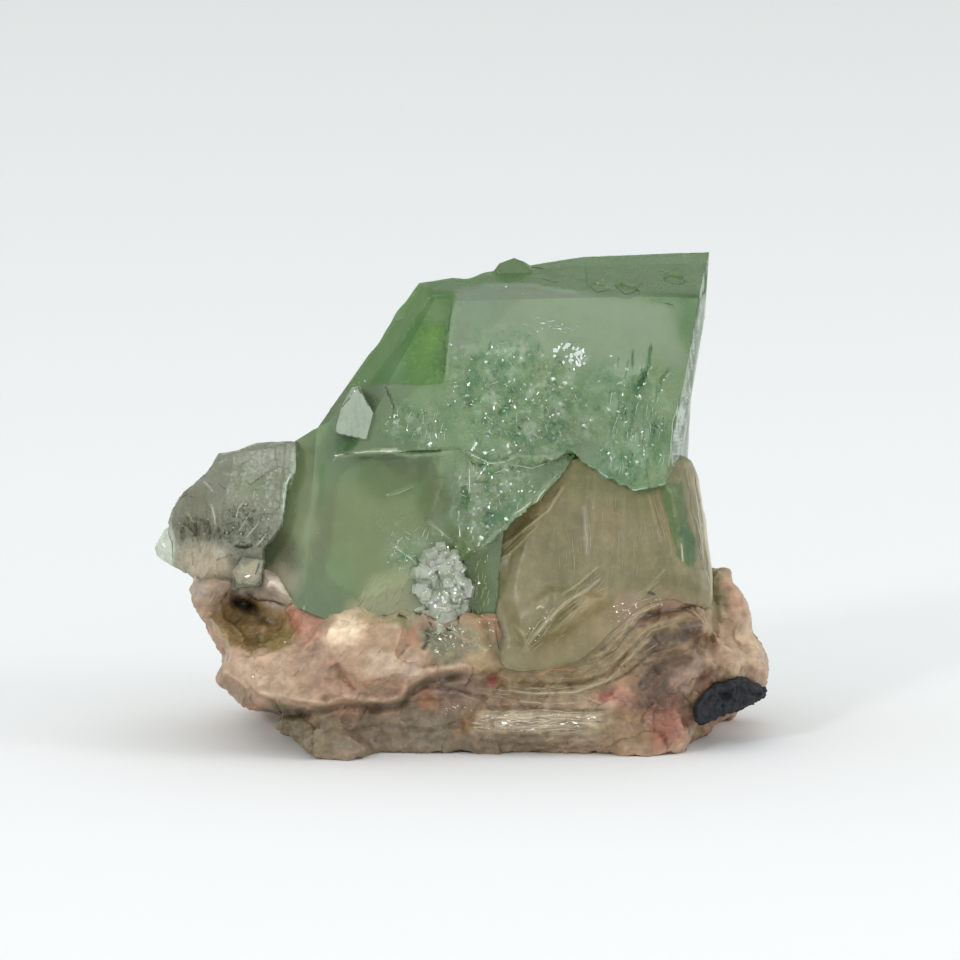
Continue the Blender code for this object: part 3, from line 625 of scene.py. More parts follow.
studio = {
    "floorColour": (0.91, 0.915, 0.91, 1.0),
    "floorRadius": 6.0,
    "cardColour": (0.34, 0.4, 0.32, 1.0),
    "card": [(-3.0, 2.4, 0.34), (3.0, 2.4, 0.34), (3.0, 2.4, 2.0), (-3.0, 2.4, 2.0)],
    "skyColour": (0.95, 0.98, 1.0, 1.0),
    "sky": 0.91,
    "softboxes": {
        # place, what it points at, size, power, colour
        "ceilingSoftbox": ((-0.4, 0.5, 2.4), (0.0, 0.5, 0.0), (4.5, 4.5), 7.0, (1.0, 0.99, 0.97)),
        "frontSoftbox": ((-0.45, -0.65, 0.42), (0.0, 0.0, 0.02), (0.12, 0.12), 1.5, (1.0, 1.0, 1.0)),
        "sideSoftbox": ((0.6, -0.2, 0.35), (0.0, 0.0, 0.02), (0.2, 0.3), 0.8, (1.0, 1.0, 1.0)),
    },
}


def stagePiece(name, bm, finish, colour):
    piece = newPiece(name, bm)
    material = newMaterial(finish, {"Roughness": 0.9, "Base Color": colour})[0]
    piece.data.materials.append(material)


def makeStage():
    bm = bmesh.new()
    bmesh.ops.create_circle(bm, cap_ends=True, radius=studio["floorRadius"], segments=96)
    stagePiece("studioFloor", bm, "paperFloor", studio["floorColour"])
    bm = bmesh.new()
    bm.faces.new([bm.verts.new(corner) for corner in studio["card"]])
    # tones down the glare on flat tops, from behind and above the view
    stagePiece("shadeCard", bm, "shadeCloth", studio["cardColour"])
    world = bpy.data.worlds.new("studioAir")
    world.use_nodes = True
    sky = world.node_tree.nodes["Background"]
    sky.inputs["Color"].default_value = studio["skyColour"]
    sky.inputs["Strength"].default_value = studio["sky"]
    bpy.context.scene.world = world
    for name, (place, target, size, power, colour) in studio["softboxes"].items():
        light = bpy.data.lights.new(name, "AREA")
        light.shape = "RECTANGLE"
        light.size, light.size_y = size
        light.energy = power
        light.color = colour
        lamp = bpy.data.objects.new(name, light)
        lamp.location = place
        lamp.rotation_euler = (Vector(target) - Vector(place)).to_track_quat("-Z", "Y").to_euler()
        bpy.context.scene.collection.objects.link(lamp)
    bpy.context.scene.view_settings.view_transform = "Standard"


def makeCamera():
    data = bpy.data.cameras.new("studioCamera")
    data.sensor_width = view["sensor"]
    data.lens = view["sensor"] * view["distance"] / view["width"]
    data.clip_start = 0.02
    data.clip_end = 20.0
    camera = bpy.data.objects.new("studioCamera", data)
    camera.location = Vector(eye) * mm
    camera.rotation_euler = (math.pi / 2.0 - view["elevation"], 0.0, 0.0)
    bpy.context.scene.collection.objects.link(camera)
    bpy.context.scene.camera = camera


makeStage()
makeCamera()
print("stage, light and camera made")


# The matrix of peach stilbite

matrixRock = {
    "voxel": 0.36,
    "touches": ["green_apophyllite", "pale_apophyllite", "clear_apophyllite_cluster", "stilbite_sheaf",
        "basalt_chip"],
    "base": (172, 144, 120),
    "gain": 1.03,
    "rosy": (1.05, 0.82, 0.76),
    "oliveish": (0.78, 0.82, 0.64),
    "mounds": [
        # shape as seen from the front or a zone's name, how far it stands out, softness of its rim
        ("peachLump", 0.8, 0.8),
        ("lumpRight", 0.7, 0.9),
        (((-19.3, 15.0), (2.8, 1.7), -12), 0.7, 1.0),
        (((-25.2, 14.2), (2.2, 2.6), 20), 0.5, 1.0),
        ([(-23.9, 6.8), (-22.9, 8.6), (-17.6, 8.6), (-13.9, 8.0), (-11.8, 4.2), (-15.2, 3.4), (-21.1, 4.6)], 0.6,
         0.9),
        ([(1.2, 2.7), (14.4, 2.6), (14.6, 0.5), (0.8, 0.3)], 0.35, 0.6),
        (((20.4, 9.6), (2.6, 0.9), 25), 0.5, 0.7),
        (((23.2, 10.6), (1.4, 0.8), 20), 0.5, 0.7),
        (((-20.6, 11.1), (3.8, 2.3), -20), -0.4, 1.2),
        (((-22.0, 13.3), (1.3, 0.5), -25), -1.4, 0.4),
        (((23.9, 9.5), (1.3, 1.1), 0), -1.0, 0.8),
    ],
    "strokes": [
        # path as (right, up), width, how far it is raised (+) or cut in (-), colour, strength of the colour
        # the groove under the ledge is painted dark: painted shade beneath the ledge's overhang
        ([(-21.6, 3.4), (-19.0, 2.4), (-15.5, 2.2), (-12.0, 3.1), (-9.2, 2.9), (-6.1, 3.1), (-5.2, 4.4),
          (-3.6, 5.5), (-1.2, 6.0),
          (2.2, 6.4)], 0.7, -0.8, (96, 82, 68), 0.6),
        ([(-21.1, 4.6), (-17.0, 3.9), (-13.6, 3.3), (-11.8, 4.0), (-9.3, 3.8), (-7.9, 3.6), (-6.1, 4.0),
          (-5.5, 5.5), (-3.8, 6.6),
          (-1.4, 6.9), (1.8, 7.5)], 0.5, 0.35, (204, 178, 152), 0.6),
        ([(-13.4, 8.7), (-12.6, 7.4), (-11.6, 5.6), (-10.4, 4.4)], 0.35, -0.3, (170, 128, 104), 0.7),
        ([(-13.9, 6.1), (-12.9, 5.0), (-11.8, 4.0)], 0.3, -0.15, (164, 130, 110), 0.7),
        ([(-14.2, 10.6), (-15.2, 9.4), (-16.2, 8.6)], 0.3, 0.2, (200, 156, 134), 0.6),
        ([(-21.8, 14.5), (-20.5, 13.7), (-19.0, 13.6), (-17.6, 13.1)], 0.3, -0.35, (104, 84, 62), 0.8),
        ([(-24.0, 6.8), (-21.8, 5.3), (-21.0, 4.4)], 0.3, 0.25, (204, 172, 148), 0.7),
        ([(3.7, 4.7), (7.6, 4.3), (11.4, 4.5), (14.5, 5.6), (16.8, 8.0), (19.2, 10.4)], 0.35, 0.22, (172, 160, 130),
         0.8),
        ([(3.6, 4.1), (5.0, 3.6), (9.1, 3.3), (13.0, 3.4)], 0.3, 0.18, (168, 148, 124), 0.7),
        ([(4.4, 5.4), (8.0, 5.2), (12.0, 5.3), (15.0, 6.5), (17.4, 9.4)], 0.35, -0.25, (118, 100, 68), 0.7),
        ([(7.1, 6.0), (9.1, 6.8), (11.4, 6.7)], 0.25, 0.12, (190, 140, 106), 0.8),
        ([(12.0, 7.4), (14.4, 8.6), (16.4, 10.8), (17.7, 12.4), (20.4, 13.4)], 0.35, 0.25, (166, 150, 118), 0.8),
        ([(13.4, 6.6), (15.8, 8.0), (18.0, 10.4), (19.6, 11.4), (22.8, 12.2)], 0.3, 0.2, (158, 140, 114), 0.7),
        ([(14.0, 5.0), (16.6, 6.4), (19.0, 8.4), (21.6, 9.2)], 0.3, -0.25, (100, 80, 64), 0.7),
        ([(23.6, 8.0), (21.6, 7.6), (19.9, 7.1), (18.6, 5.8), (17.6, 4.4)], 0.7, -0.4, (92, 76, 60), 0.7),
        ([(17.6, 11.6), (19.4, 12.3), (21.4, 12.5), (23.8, 13.4)], 0.5, -0.4, (96, 74, 56), 0.8),
        ([(1.2, 2.9), (6.0, 2.9), (12.0, 2.6), (15.0, 2.8)], 0.35, -0.3, (118, 100, 74), 0.7),
        ([(1.0, 0.3), (6.0, 0.1), (12.0, 0.0), (14.6, 0.2)], 0.4, -0.2, (128, 110, 86), 0.6),
        # these two pale lines on the silky band are painted highlights
        ([(2.2, 2.2), (6.4, 1.9), (10.0, 2.2), (13.4, 2.0)], 0.25, 0.15, (200, 188, 164), 0.6),
        ([(3.4, 1.0), (7.4, 0.9), (11.4, 1.4), (13.6, 1.1)], 0.25, 0.15, (196, 182, 156), 0.6),
        ([(-12.6, 0.6), (-8.0, 1.1), (-3.0, 0.6), (0.6, 1.6)], 0.5, -0.25, (100, 88, 72), 0.6),
        ([(-4.2, 5.0), (-1.6, 4.9), (1.4, 4.2), (3.2, 3.8)], 0.35, -0.2, (104, 86, 74), 0.7),
        ([(-3.6, 4.4), (-0.6, 4.4), (2.0, 3.6)], 0.3, 0.2, (152, 130, 116), 0.6),
        ([(18.6, 1.0), (20.2, 0.0), (20.6, -1.4)], 0.4, -0.3, (148, 92, 82), 0.7),
        ([(25.2, 16.6), (25.4, 12.0), (25.0, 8.8)], 0.6, -0.4, (128, 116, 82), 0.7),
        ([(-3.5, 10.8), (-3.4, 9.6), (-4.0, 8.6)], 0.35, -0.3, (96, 94, 70), 0.8),
        ([(-1.2, 10.6), (1.0, 9.2), (3.0, 8.6)], 0.3, 0.2, (178, 166, 134), 0.7),
        ([(-7.7, 14.2), (-7.4, 12.9), (-7.9, 11.8)], 0.25, -0.25, (98, 94, 64), 0.8),
    ],
    "pulls": [
        # spot, how far it is dragged across the view, reach
        ((-19.4, 15.0), (0.3, 1.7), 3.2), ((-22.6, 15.6), (0.6, 0.6), 2.0), ((-6.6, 12.6), (0.0, 1.5), 3.4),
        ((-10.4, 13.0), (0.0, 0.9), 2.4), ((-19.6, 2.4), (1.4, 0.0), 1.8), ((-20.6, 0.8), (1.6, 0.0), 2.2),
        ((-24.6, 8.4), (0.9, 0.0), 2.0), ((-24.2, 5.6), (-0.5, 0.0), 1.6), ((-26.4, 13.0), (-0.3, 0.0), 1.8),
        ((11.0, 8.6), (0.0, 0.25), 2.6), ((-5.0, 12.4), (0.0, 0.7), 2.4),
        ((26.0, 16.6), (0.3, 0.7), 2.0), ((24.2, -1.2), (-0.8, 0.0), 2.0), ((2.2, 9.4), (0.8, 1.2), 2.4),
    ],
    "joints": [
        # paths of (right, up, depth) along which the rock meets its neighbours flush
        [(3.0, 11.0, -8.6), (4.2, 8.4, -9.1), (6.0, 7.6, -9.3), (8.5, 7.6, -9.3), (11.5, 8.8, -9.3),
         (14.0, 10.8, -8.9), (15.6, 12.2, -8.5),
         (18.0, 13.8, -8.3), (20.5, 14.4, -8.3), (23.0, 13.4, -7.6), (24.8, 13.0, -6.4)],
        [(-22.5, 14.8, -8.4), (-20.0, 15.8, -8.2), (-18.3, 16.0, -7.9), (-17.0, 14.8, -8.4), (-15.5, 13.6, -9.0),
         (-13.5, 12.9, -9.5),
         (-12.0, 12.4, -9.7), (-9.5, 13.0, -9.6), (-7.0, 13.4, -9.6), (-5.0, 12.6, -9.7), (-3.5, 11.0, -10.2),
         (1.0, 10.4, -10.0)],
    ],
    "zones": [
        # name, shape, softness, colour as seen, strength
        ("sheafSide", ((12.0, 7.6), (9.0, 2.8), 12), 1.5, (140, 126, 92), 0.85),
        ("baseBand", ((-5.0, 0.4), (14.0, 3.0), 4), 1.6, (126, 112, 92), 0.95),
        ("baseGrey", ((-2.6, 0.4), (3.0, 1.6), 0), 1.0, (126, 116, 96), 0.8),
        ("baseOrange", ((0.6, 1.2), (1.2, 1.6), -40), 0.8, (142, 112, 76), 0.7),
        ("silkyBand", [(1.2, 2.9), (14.6, 2.9), (15.4, 0.4), (12.0, -0.3), (0.8, 0.2)], 0.4, (172, 156, 130), 0.9),
        ("underSilky", ((7.0, -0.9), (7.0, 0.7), 0), 0.7, (134, 118, 94), 0.8),
        ("oliveStrip", ((8.6, 4.9), (5.6, 0.9), 4), 0.5, (124, 106, 72), 0.85),
        ("oliveFoot", ((-17.4, 2.0), (2.4, 1.6), -30), 0.8, (96, 88, 58), 0.85),
        ("footGrey", ((-14.4, 0.0), (2.6, 1.6), 0), 1.0, (124, 112, 86), 0.8),
        ("ledgePeach", ((-19.0, 6.4), (4.6, 2.2), -6), 1.2, (196, 170, 144), 0.85),
        ("ledgeSide", [(-24.0, 6.8), (-21.8, 5.3), (-20.8, 4.2), (-22.4, 2.6), (-25.0, 4.4)], 0.4, (142, 120, 98),
         0.85),
        ("ledgePink", ((-13.6, 6.0), (3.4, 1.9), -20), 1.2, (160, 130, 106), 0.8),
        ("ledgeMiddle", ((-9.0, 4.5), (4.4, 0.9), 4), 0.7, (168, 138, 116), 0.8),
        ("peachLump", [(-14.0, 9.9), (-13.2, 12.2), (-9.5, 12.6), (-6.4, 11.4), (-6.1, 5.9), (-10.5, 5.4),
            (-12.2, 7.4)], 0.5,
         (178, 150, 122), 0.95),
        # painted highlight on the lump's upper left
        ("lumpCream", ((-11.8, 10.5), (1.9, 1.4), 20), 0.8, (246, 222, 192), 0.95),
        ("lumpFacet", [(-9.2, 8.6), (-6.3, 8.4), (-6.2, 6.2), (-9.6, 6.0)], 0.35, (200, 178, 154), 0.8),
        ("lumpTan", ((-8.0, 10.0), (1.7, 1.5), 0), 0.7, (174, 148, 118), 0.8),
        ("lumpRight", ((-5.1, 6.7), (1.2, 1.1), 0), 0.5, (204, 182, 162), 0.9),
        ("fringeYellow", ((-9.0, 13.0), (3.0, 0.9), 10), 0.6, (182, 168, 128), 0.85),
        ("fringeOlive", ((-6.0, 12.6), (2.2, 1.6), 0), 0.8, (142, 140, 104), 0.85),
        ("seamGreen", ((-1.6, 9.4), (2.4, 2.0), 0), 0.9, (120, 122, 94), 0.85),
        ("seamPale", ((1.6, 9.6), (1.6, 1.8), 0), 0.8, (162, 150, 118), 0.8),
        ("roseSeam", ((-15.6, 10.8), (1.9, 1.5), 20), 0.9, (172, 124, 102), 0.85),
        ("rustSpot", ((-16.9, 11.2), (0.7, 1.1), 0), 0.6, (166, 108, 76), 0.85),
        ("lilacLobe", ((-19.3, 15.0), (2.8, 1.8), -12), 0.8, (208, 196, 180), 0.95),
        ("leftLobe", ((-25.2, 14.4), (2.2, 2.6), 20), 0.9, (156, 136, 116), 0.9),
        ("leftPale", ((-26.2, 15.4), (0.8, 1.4), 10), 0.5, (176, 164, 148), 0.8),
        ("lobeGrey", ((-23.2, 15.4), (1.6, 1.2), 0), 0.7, (150, 134, 118), 0.8),
        ("pocketBrown", ((-20.6, 11.0), (3.9, 2.5), -20), 0.8, (156, 130, 86), 0.97),
        # painted shade: the pocket's deepest part and its hole are painted dark
        ("pocketDeep", ((-20.6, 12.4), (1.8, 0.5), -32), 0.5, (78, 64, 40), 0.8),
        ("pocketOlive", ((-18.9, 9.5), (2.2, 0.8), 4), 0.5, (128, 112, 66), 0.8),
        ("pocketHole", ((-22.0, 13.3), (1.2, 0.4), -25), 0.3, (22, 20, 13), 1.0),
        # painted shade in a small pit
        ("pitSmall", ((-13.7, 3.9), (0.45, 0.35), 0), 0.2, (118, 92, 76), 0.8),
        ("redSpot", ((3.0, 5.6), (0.55, 0.65), -20), 0.3, (140, 66, 56), 0.95),
        ("redStreak", ((14.4, 4.2), (0.9, 0.5), 20), 0.3, (140, 78, 60), 0.95),
        ("rosePatch", ((15.8, 3.7), (1.1, 0.6), 0), 0.4, (170, 128, 112), 0.8),
        ("shadowBrown", ((-1.4, 4.9), (3.4, 1.2), 6), 0.8, (124, 104, 90), 0.9),
        ("seamOrange", ((-3.4, 3.9), (0.9, 1.1), 0), 0.6, (152, 108, 76), 0.85),
        ("rightFlank", ((20.6, 5.0), (4.2, 2.8), 30), 1.4, (82, 60, 44), 0.9),
        ("flankPale", ((22.4, 5.8), (1.6, 1.3), 40), 0.7, (164, 138, 120), 0.8),
        ("rightRose", ((20.4, 1.2), (2.6, 2.0), 20), 1.0, (142, 88, 68), 0.85),
        ("rightTan", ((16.2, 0.8), (2.4, 2.0), 0), 1.0, (138, 116, 82), 0.8),
        ("lobePink", ((20.2, 9.8), (2.6, 1.0), 25), 0.6, (74, 58, 40), 0.9),
        ("lobeGreyRight", ((23.0, 10.8), (1.5, 0.9), 20), 0.5, (74, 58, 42), 0.9),
        ("layerBrown", ((19.2, 12.0), (2.0, 0.8), 15), 0.5, (108, 84, 64), 0.9),
        ("gapBrown", ((23.9, 9.5), (1.2, 1.0), 0), 0.5, (100, 68, 48), 0.95),
        ("rearLump", ((27.6, 10.6), (3.2, 5.6), 12), 1.4, (192, 166, 138), 0.95),
        ("rearPink", ((27.2, 13.6), (1.1, 1.4), 0), 0.7, (176, 138, 114), 0.8),
        ("rearOlive", ((25.4, 14.4), (0.9, 2.8), 0), 0.7, (134, 128, 92), 0.9),
        ("rearTop", ((25.8, 16.8), (1.4, 0.7), 0), 0.6, (148, 140, 112), 0.8),
        ("rearTan", ((26.4, 7.8), (1.2, 0.9), 0), 0.6, (150, 122, 94), 0.8),
    ],
    "seams": [
        # where a neighbour grows out of the rock both take one colour
        ([(3.0, 10.6), (4.2, 8.2), (6.0, 7.4), (8.5, 7.4), (11.5, 8.6), (14.0, 10.6)], 2.2, 0.0, (134, 122, 92),
         0.75),
        ([(14.0, 10.6), (15.6, 12.0), (18.0, 13.6), (20.5, 14.2), (23.0, 13.2), (24.8, 12.8)], 1.4, 0.0,
         (142, 124, 98), 0.8),
    ],
    "glossy": [((-20.6, 11.0), (4.0, 2.6), -22), ((8.0, 1.4), (8.0, 1.5), 0), ((-10.0, 8.6), (4.2, 3.2), -20),
               ((-18.6, 6.6), (3.0, 1.6), 0), ((17.0, 13.2), (2.0, 1.2), 30)],
    "look": {
        "glow": 0.45, "glowRadius": (1.0, 0.62, 0.45), "glowDepth": 1.4, "grainSize": 620.0, "contrast": 0.16,
        "mottleSize": 420.0, "mottle": 0.3, "deep": (0.7, 0.6, 0.52), "milky": (0.74, 0.62, 0.52),
        "fibreSize": 700.0, "fibreBend": 0.4, "fibreContrast": 0.08, "fibreBump": 0.2, "stretch": (0.25, 1.0, 1.6),
        "matt": 0.5, "shiny": 0.16, "glitterSize": 3200.0, "glitter": 0.35,
        "bump": 0.5, "bumpDepth": 0.25,
    },
}

def makeMatrix():
    look = matrixRock
    piece = softCopy("stilbite_matrix", "matrixRock", look["voxel"], 4)
    points, normals = shapeOf(piece)
    moveTo(piece, grownOn(points, look["touches"]))
    refined(piece, (frontness(normals) > 0.3) & (points[:, 1] < 0.0))
    points, normals = shapeOf(piece)
    knobs = 1.0 - np.abs(noiseAt(points, 3.0, 1, 2)) * 2.2
    amount = 0.3 * (knobs - 0.5) + 0.15 * noiseAt(points, 1.3, 2, 4)
    amount += facets(points, 3.4, 0.06, 3) + facets(points, 1.6, 0.06, 4)
    amount += 0.07 * noiseAt(points, 0.6, 12, 2)
    points = pulled(points + normals * amount[:, None], look["pulls"])
    facing = frontness(normals) * softStep(2.0, -3.0, points[:, 1])
    points = levelled(points, facing, look["joints"], 2.0)
    spots = spotsOf(points)
    points = points - np.outer(raised(spots, look) * facing, forward)
    moveTo(piece, points)
    wobble = wobbleOf(points, 5, 1.1, 1.6, 1.6)
    base = baseColours(look, 1.0 + 0.3 * noiseAt(points, 6.0, 7, 4))
    rose = softStep(0.05, 0.5, noiseAt(points, 4.0, 8, 3))[:, None]
    base = base * (1.0 - rose) + base * np.array(look["rosy"]) * rose
    olive = softStep(0.1, 0.5, noiseAt(points, 7.0, 9, 3))[:, None]
    base = base * (1.0 - olive) + base * np.array(look["oliveish"]) * olive
    near = softStep(4.0, 0.0, points[:, 1])
    colours = tinted(base, spots, wobble, near, look, look["seams"] + look["strokes"])
    streaks = 1.0 + 0.3 * noiseAt(points, 0.9, 10, 4)
    gloss = 0.3 + 0.35 * noiseAt(points, 1.2, 11, 3)
    for middle, half, turn in look["glossy"]:
        gloss = gloss + blob(spots + wobble * 0.5, middle, half, turn) * near * 0.55
    paint(piece, "tint", colours * streaks[:, None])
    paint(piece, "gloss", gloss)
    return finished(piece, rockMaterial("peachStilbite", look["look"]), "stilbite_matrix",
        sharp=38.0)


matrix = makeMatrix()
print("matrix made")


# The beige stilbite sheaf

sheafRock = {
    "voxel": 0.28,
    "touches": ["green_apophyllite", "clear_apophyllite_cluster"],
    "base": (124, 118, 88),
    "gain": (0.99, 0.985, 0.9),
    "fan": (16.5, 62.0),           # where the fibres would meet, far above
    "mounds": [
        ([(18.0, 15.2), (20.6, 14.8), (21.0, 13.0), (17.8, 12.2), (15.4, 12.2), (15.6, 13.8)], -0.5, 0.6),
    ],
    "strokes": [
        ([(3.2, 18.6), (5.0, 19.8), (6.9, 21.3), (8.6, 22.6), (10.4, 25.4)], 0.25, 0.2, (156, 146, 112), 0.85),
        ([(3.0, 17.6), (4.6, 18.2), (6.0, 19.6), (7.8, 21.4)], 0.2, 0.15, (150, 140, 106), 0.8),
        ([(2.9, 17.5), (3.2, 15.0), (4.0, 12.1)], 0.25, 0.2, (154, 148, 112), 0.8),
        ([(12.2, 23.6), (12.4, 21.0), (12.6, 17.8)], 0.4, 0.15, (154, 148, 126), 0.7),
        ([(14.2, 16.1), (12.4, 14.7), (10.4, 13.5), (8.5, 11.6), (7.2, 10.0), (6.1, 8.9)], 0.35, 0.35,
         (178, 166, 138), 0.85),
        ([(13.8, 17.2), (11.8, 15.4), (9.8, 14.2)], 0.22, 0.2, (160, 148, 118), 0.7),
        ([(11.6, 13.4), (9.8, 11.9), (8.6, 10.4)], 0.45, -0.35, (112, 100, 62), 0.6),
        ([(13.9, 8.9), (16.1, 10.8), (17.7, 12.4), (20.4, 13.5), (20.8, 14.3)], 0.3, 0.3, (166, 152, 118), 0.85),
        ([(16.6, 13.8), (18.6, 15.2), (20.6, 17.0)], 0.25, 0.2, (158, 146, 114), 0.7),
        ([(19.4, 24.8), (20.4, 21.6), (21.3, 18.2)], 0.3, -0.15, (146, 124, 88), 0.8),
        ([(18.6, 24.6), (19.4, 21.4), (20.0, 19.0)], 0.25, 0.1, (152, 132, 98), 0.7),
        ([(21.9, 19.4), (22.1, 17.4)], 0.2, 0.1, (170, 164, 136), 0.9),
        # painted highlight down the sheaf's right edge, where its face turns
        ([(23.4, 26.8), (24.2, 22.0), (24.9, 16.8), (25.0, 13.4)], 0.25, 0.2, (196, 190, 168), 0.85),
        ([(22.5, 27.0), (23.4, 22.0), (23.9, 18.0)], 0.2, -0.2, (122, 118, 92), 0.7),
        ([(23.0, 26.8), (23.8, 21.6), (24.3, 16.6)], 0.18, 0.15, (170, 162, 138), 0.8),
        # painted glint: a small pale arc
        ([(7.4, 12.8), (7.8, 13.1), (8.2, 12.9)], 0.15, 0.1, (214, 206, 180), 0.9),
        ([(5.0, 11.4), (6.2, 10.2), (6.6, 8.6)], 0.3, 0.2, (166, 158, 126), 0.7),
    ],
    "zones": [
        ("greenTop", ((16.0, 25.6), (6.0, 2.6), 0), 1.2, (122, 122, 84), 0.8),
        ("topOlive", ((11.4, 26.4), (1.8, 1.8), 0), 1.0, (120, 118, 78), 0.8),
        ("leftBrown", ((7.4, 22.8), (3.8, 1.2), 46), 0.9, (128, 110, 72), 0.85),
        ("leftOlive", ((3.6, 15.6), (0.8, 2.6), 4), 0.5, (108, 116, 74), 0.9),
        ("middleBeige", ((14.6, 19.4), (3.4, 4.4), 0), 1.6, (134, 126, 97), 0.85),
        ("middleWarm", ((14.4, 21.6), (1.4, 2.6), 0), 1.0, (142, 126, 94), 0.6),
        ("leftVeil", ((4.3, 10.6), (1.0, 3.2), -12), 0.8, (178, 168, 142), 0.6),
        ("palePatch", ((6.6, 14.4), (1.8, 3.6), -10), 1.0, (140, 130, 102), 0.8),
        ("warmFoot", ((13.4, 12.6), (3.4, 2.4), 30), 1.0, (152, 136, 102), 0.85),
        ("oliveFoot", ((9.6, 9.6), (3.0, 1.5), 28), 0.7, (134, 122, 82), 0.85),
        ("greenWindow", [(19.6, 24.9), (22.0, 25.6), (22.9, 20.6), (23.5, 17.5), (22.8, 17.0), (21.4, 18.1)], 0.18,
         (84, 104, 58), 0.95),
        ("windowDark", ((22.6, 19.4), (0.6, 2.0), 12), 0.4, (62, 94, 56), 0.9),
        ("windowTop", ((20.8, 24.4), (0.8, 0.9), 0), 0.4, (92, 116, 66), 0.8),
        ("rightPale", [(22.2, 27.4), (23.6, 27.4), (25.3, 17.0), (25.2, 13.0), (23.9, 13.6), (23.7, 18.0)], 0.25,
         (146, 138, 114), 0.9),
        ("pinkGlint", ((16.7, 13.5), (1.4, 1.0), 40), 0.5, (168, 144, 128), 0.9),
        ("pitBrown", ((18.8, 12.4), (1.8, 0.7), 15), 0.5, (106, 84, 62), 0.9),
        # painted shade in a small hole
        ("pitHole", ((18.8, 14.5), (0.5, 0.25), -20), 0.2, (74, 68, 44), 0.9),
        ("rightBeige", ((22.0, 15.4), (2.0, 1.4), 0), 0.8, (122, 116, 84), 0.8),
    ],
    "pulls": [
        ([(3.6, 9.5), (4.2, 8.0), (6.0, 7.6), (8.5, 7.6), (11.5, 8.8), (14.0, 10.8), (15.6, 12.2), (18.0, 13.9),
          (20.5, 14.5), (23.0, 13.5),
          (24.8, 13.0)], (0.15, -0.5), 2.4),
    ],
    "seams": [
        ([(3.0, 12.6), (4.2, 8.6), (6.0, 8.0), (8.5, 8.0), (11.5, 9.2), (14.0, 11.2)], 1.6, 0.0, (138, 126, 96),
         0.75),
        ([(14.0, 11.2), (15.6, 12.6), (18.0, 14.2), (20.5, 14.8), (23.0, 13.8), (24.8, 13.2)], 1.2, 0.0,
         (142, 124, 98), 0.8),
    ],
    "joints": [
        [(3.4, 12.0, -8.2), (4.2, 8.6, -9.1), (6.0, 8.0, -9.3), (8.5, 8.2, -9.3), (11.5, 9.4, -9.3),
         (14.0, 11.4, -8.9), (15.6, 12.6, -8.5),
         (18.0, 14.2, -8.3), (20.5, 14.8, -8.3), (23.0, 14.0, -7.6), (24.8, 13.4, -6.4)],
    ],
    "look": {
        "glow": 0.35, "glowRadius": (1.0, 0.85, 0.55), "glowDepth": 1.6, "grainSize": 700.0, "contrast": 0.14,
        "mottleSize": 420.0, "mottle": 0.3, "deep": (0.78, 0.8, 0.62), "milky": (0.5, 0.46, 0.36),
        "fibreSize": 1500.0, "fibreBend": 0.2, "fibreContrast": 0.07, "fibreBump": 0.18,
        "stretch": (1.0, 1.0, 0.12),
        "matt": 0.46, "shiny": 0.2, "glitterSize": 4200.0, "glitter": 0.25,
        "bump": 0.25, "bumpDepth": 0.15,
    },
}

def makeSheaf():
    look = sheafRock
    piece = softCopy("stilbite_sheaf", "sheafRock", look["voxel"], 5)
    refined(piece, frontness(vectorsOf(piece, "normal")) > 0.3)
    moveTo(piece, grownOn(vectorsOf(piece), look["touches"]))
    points, normals = shapeOf(piece)
    spots = spotsOf(points)
    facing = frontness(normals)
    away = spots - np.array(look["fan"])
    lines = [np.arctan2(away[:, 0], -away[:, 1]) * 45.0, np.hypot(*away.T) * 0.06, points[:, 1] * 0.25]
    grooves = noiseAt(np.stack(lines, axis=1), 0.7, 12, 4)
    out = 0.04 * grooves + 0.14 * noiseAt(points, 3.0, 13, 2)
    points = points + normals * out[:, None] - np.outer(raised(spots, look) * facing, forward)
    points = levelled(points, facing, look["joints"], 2.4)
    moveTo(piece, pulled(points, look["pulls"]))
    wobble = wobbleOf(points, 14, 0.9, 2.0, 3.0)
    near = softStep(3.0, -1.0, points[:, 1])
    base = baseColours(look, 1.0 + 0.12 * grooves)
    colours = tinted(base, spots, wobble, near, look, look["seams"] + look["strokes"])
    streaks = 1.0 + 0.05 * grooves + 0.12 * noiseAt(points, 1.0, 16, 3)
    paint(piece, "tint", colours * streaks[:, None])
    paint(piece, "gloss", 0.45 + 0.35 * grooves)
    return finished(piece, rockMaterial("beigeStilbite", look["look"]), "stilbite_sheaf")


sheaf = makeSheaf()
print("sheaf made")


# The green apophyllite

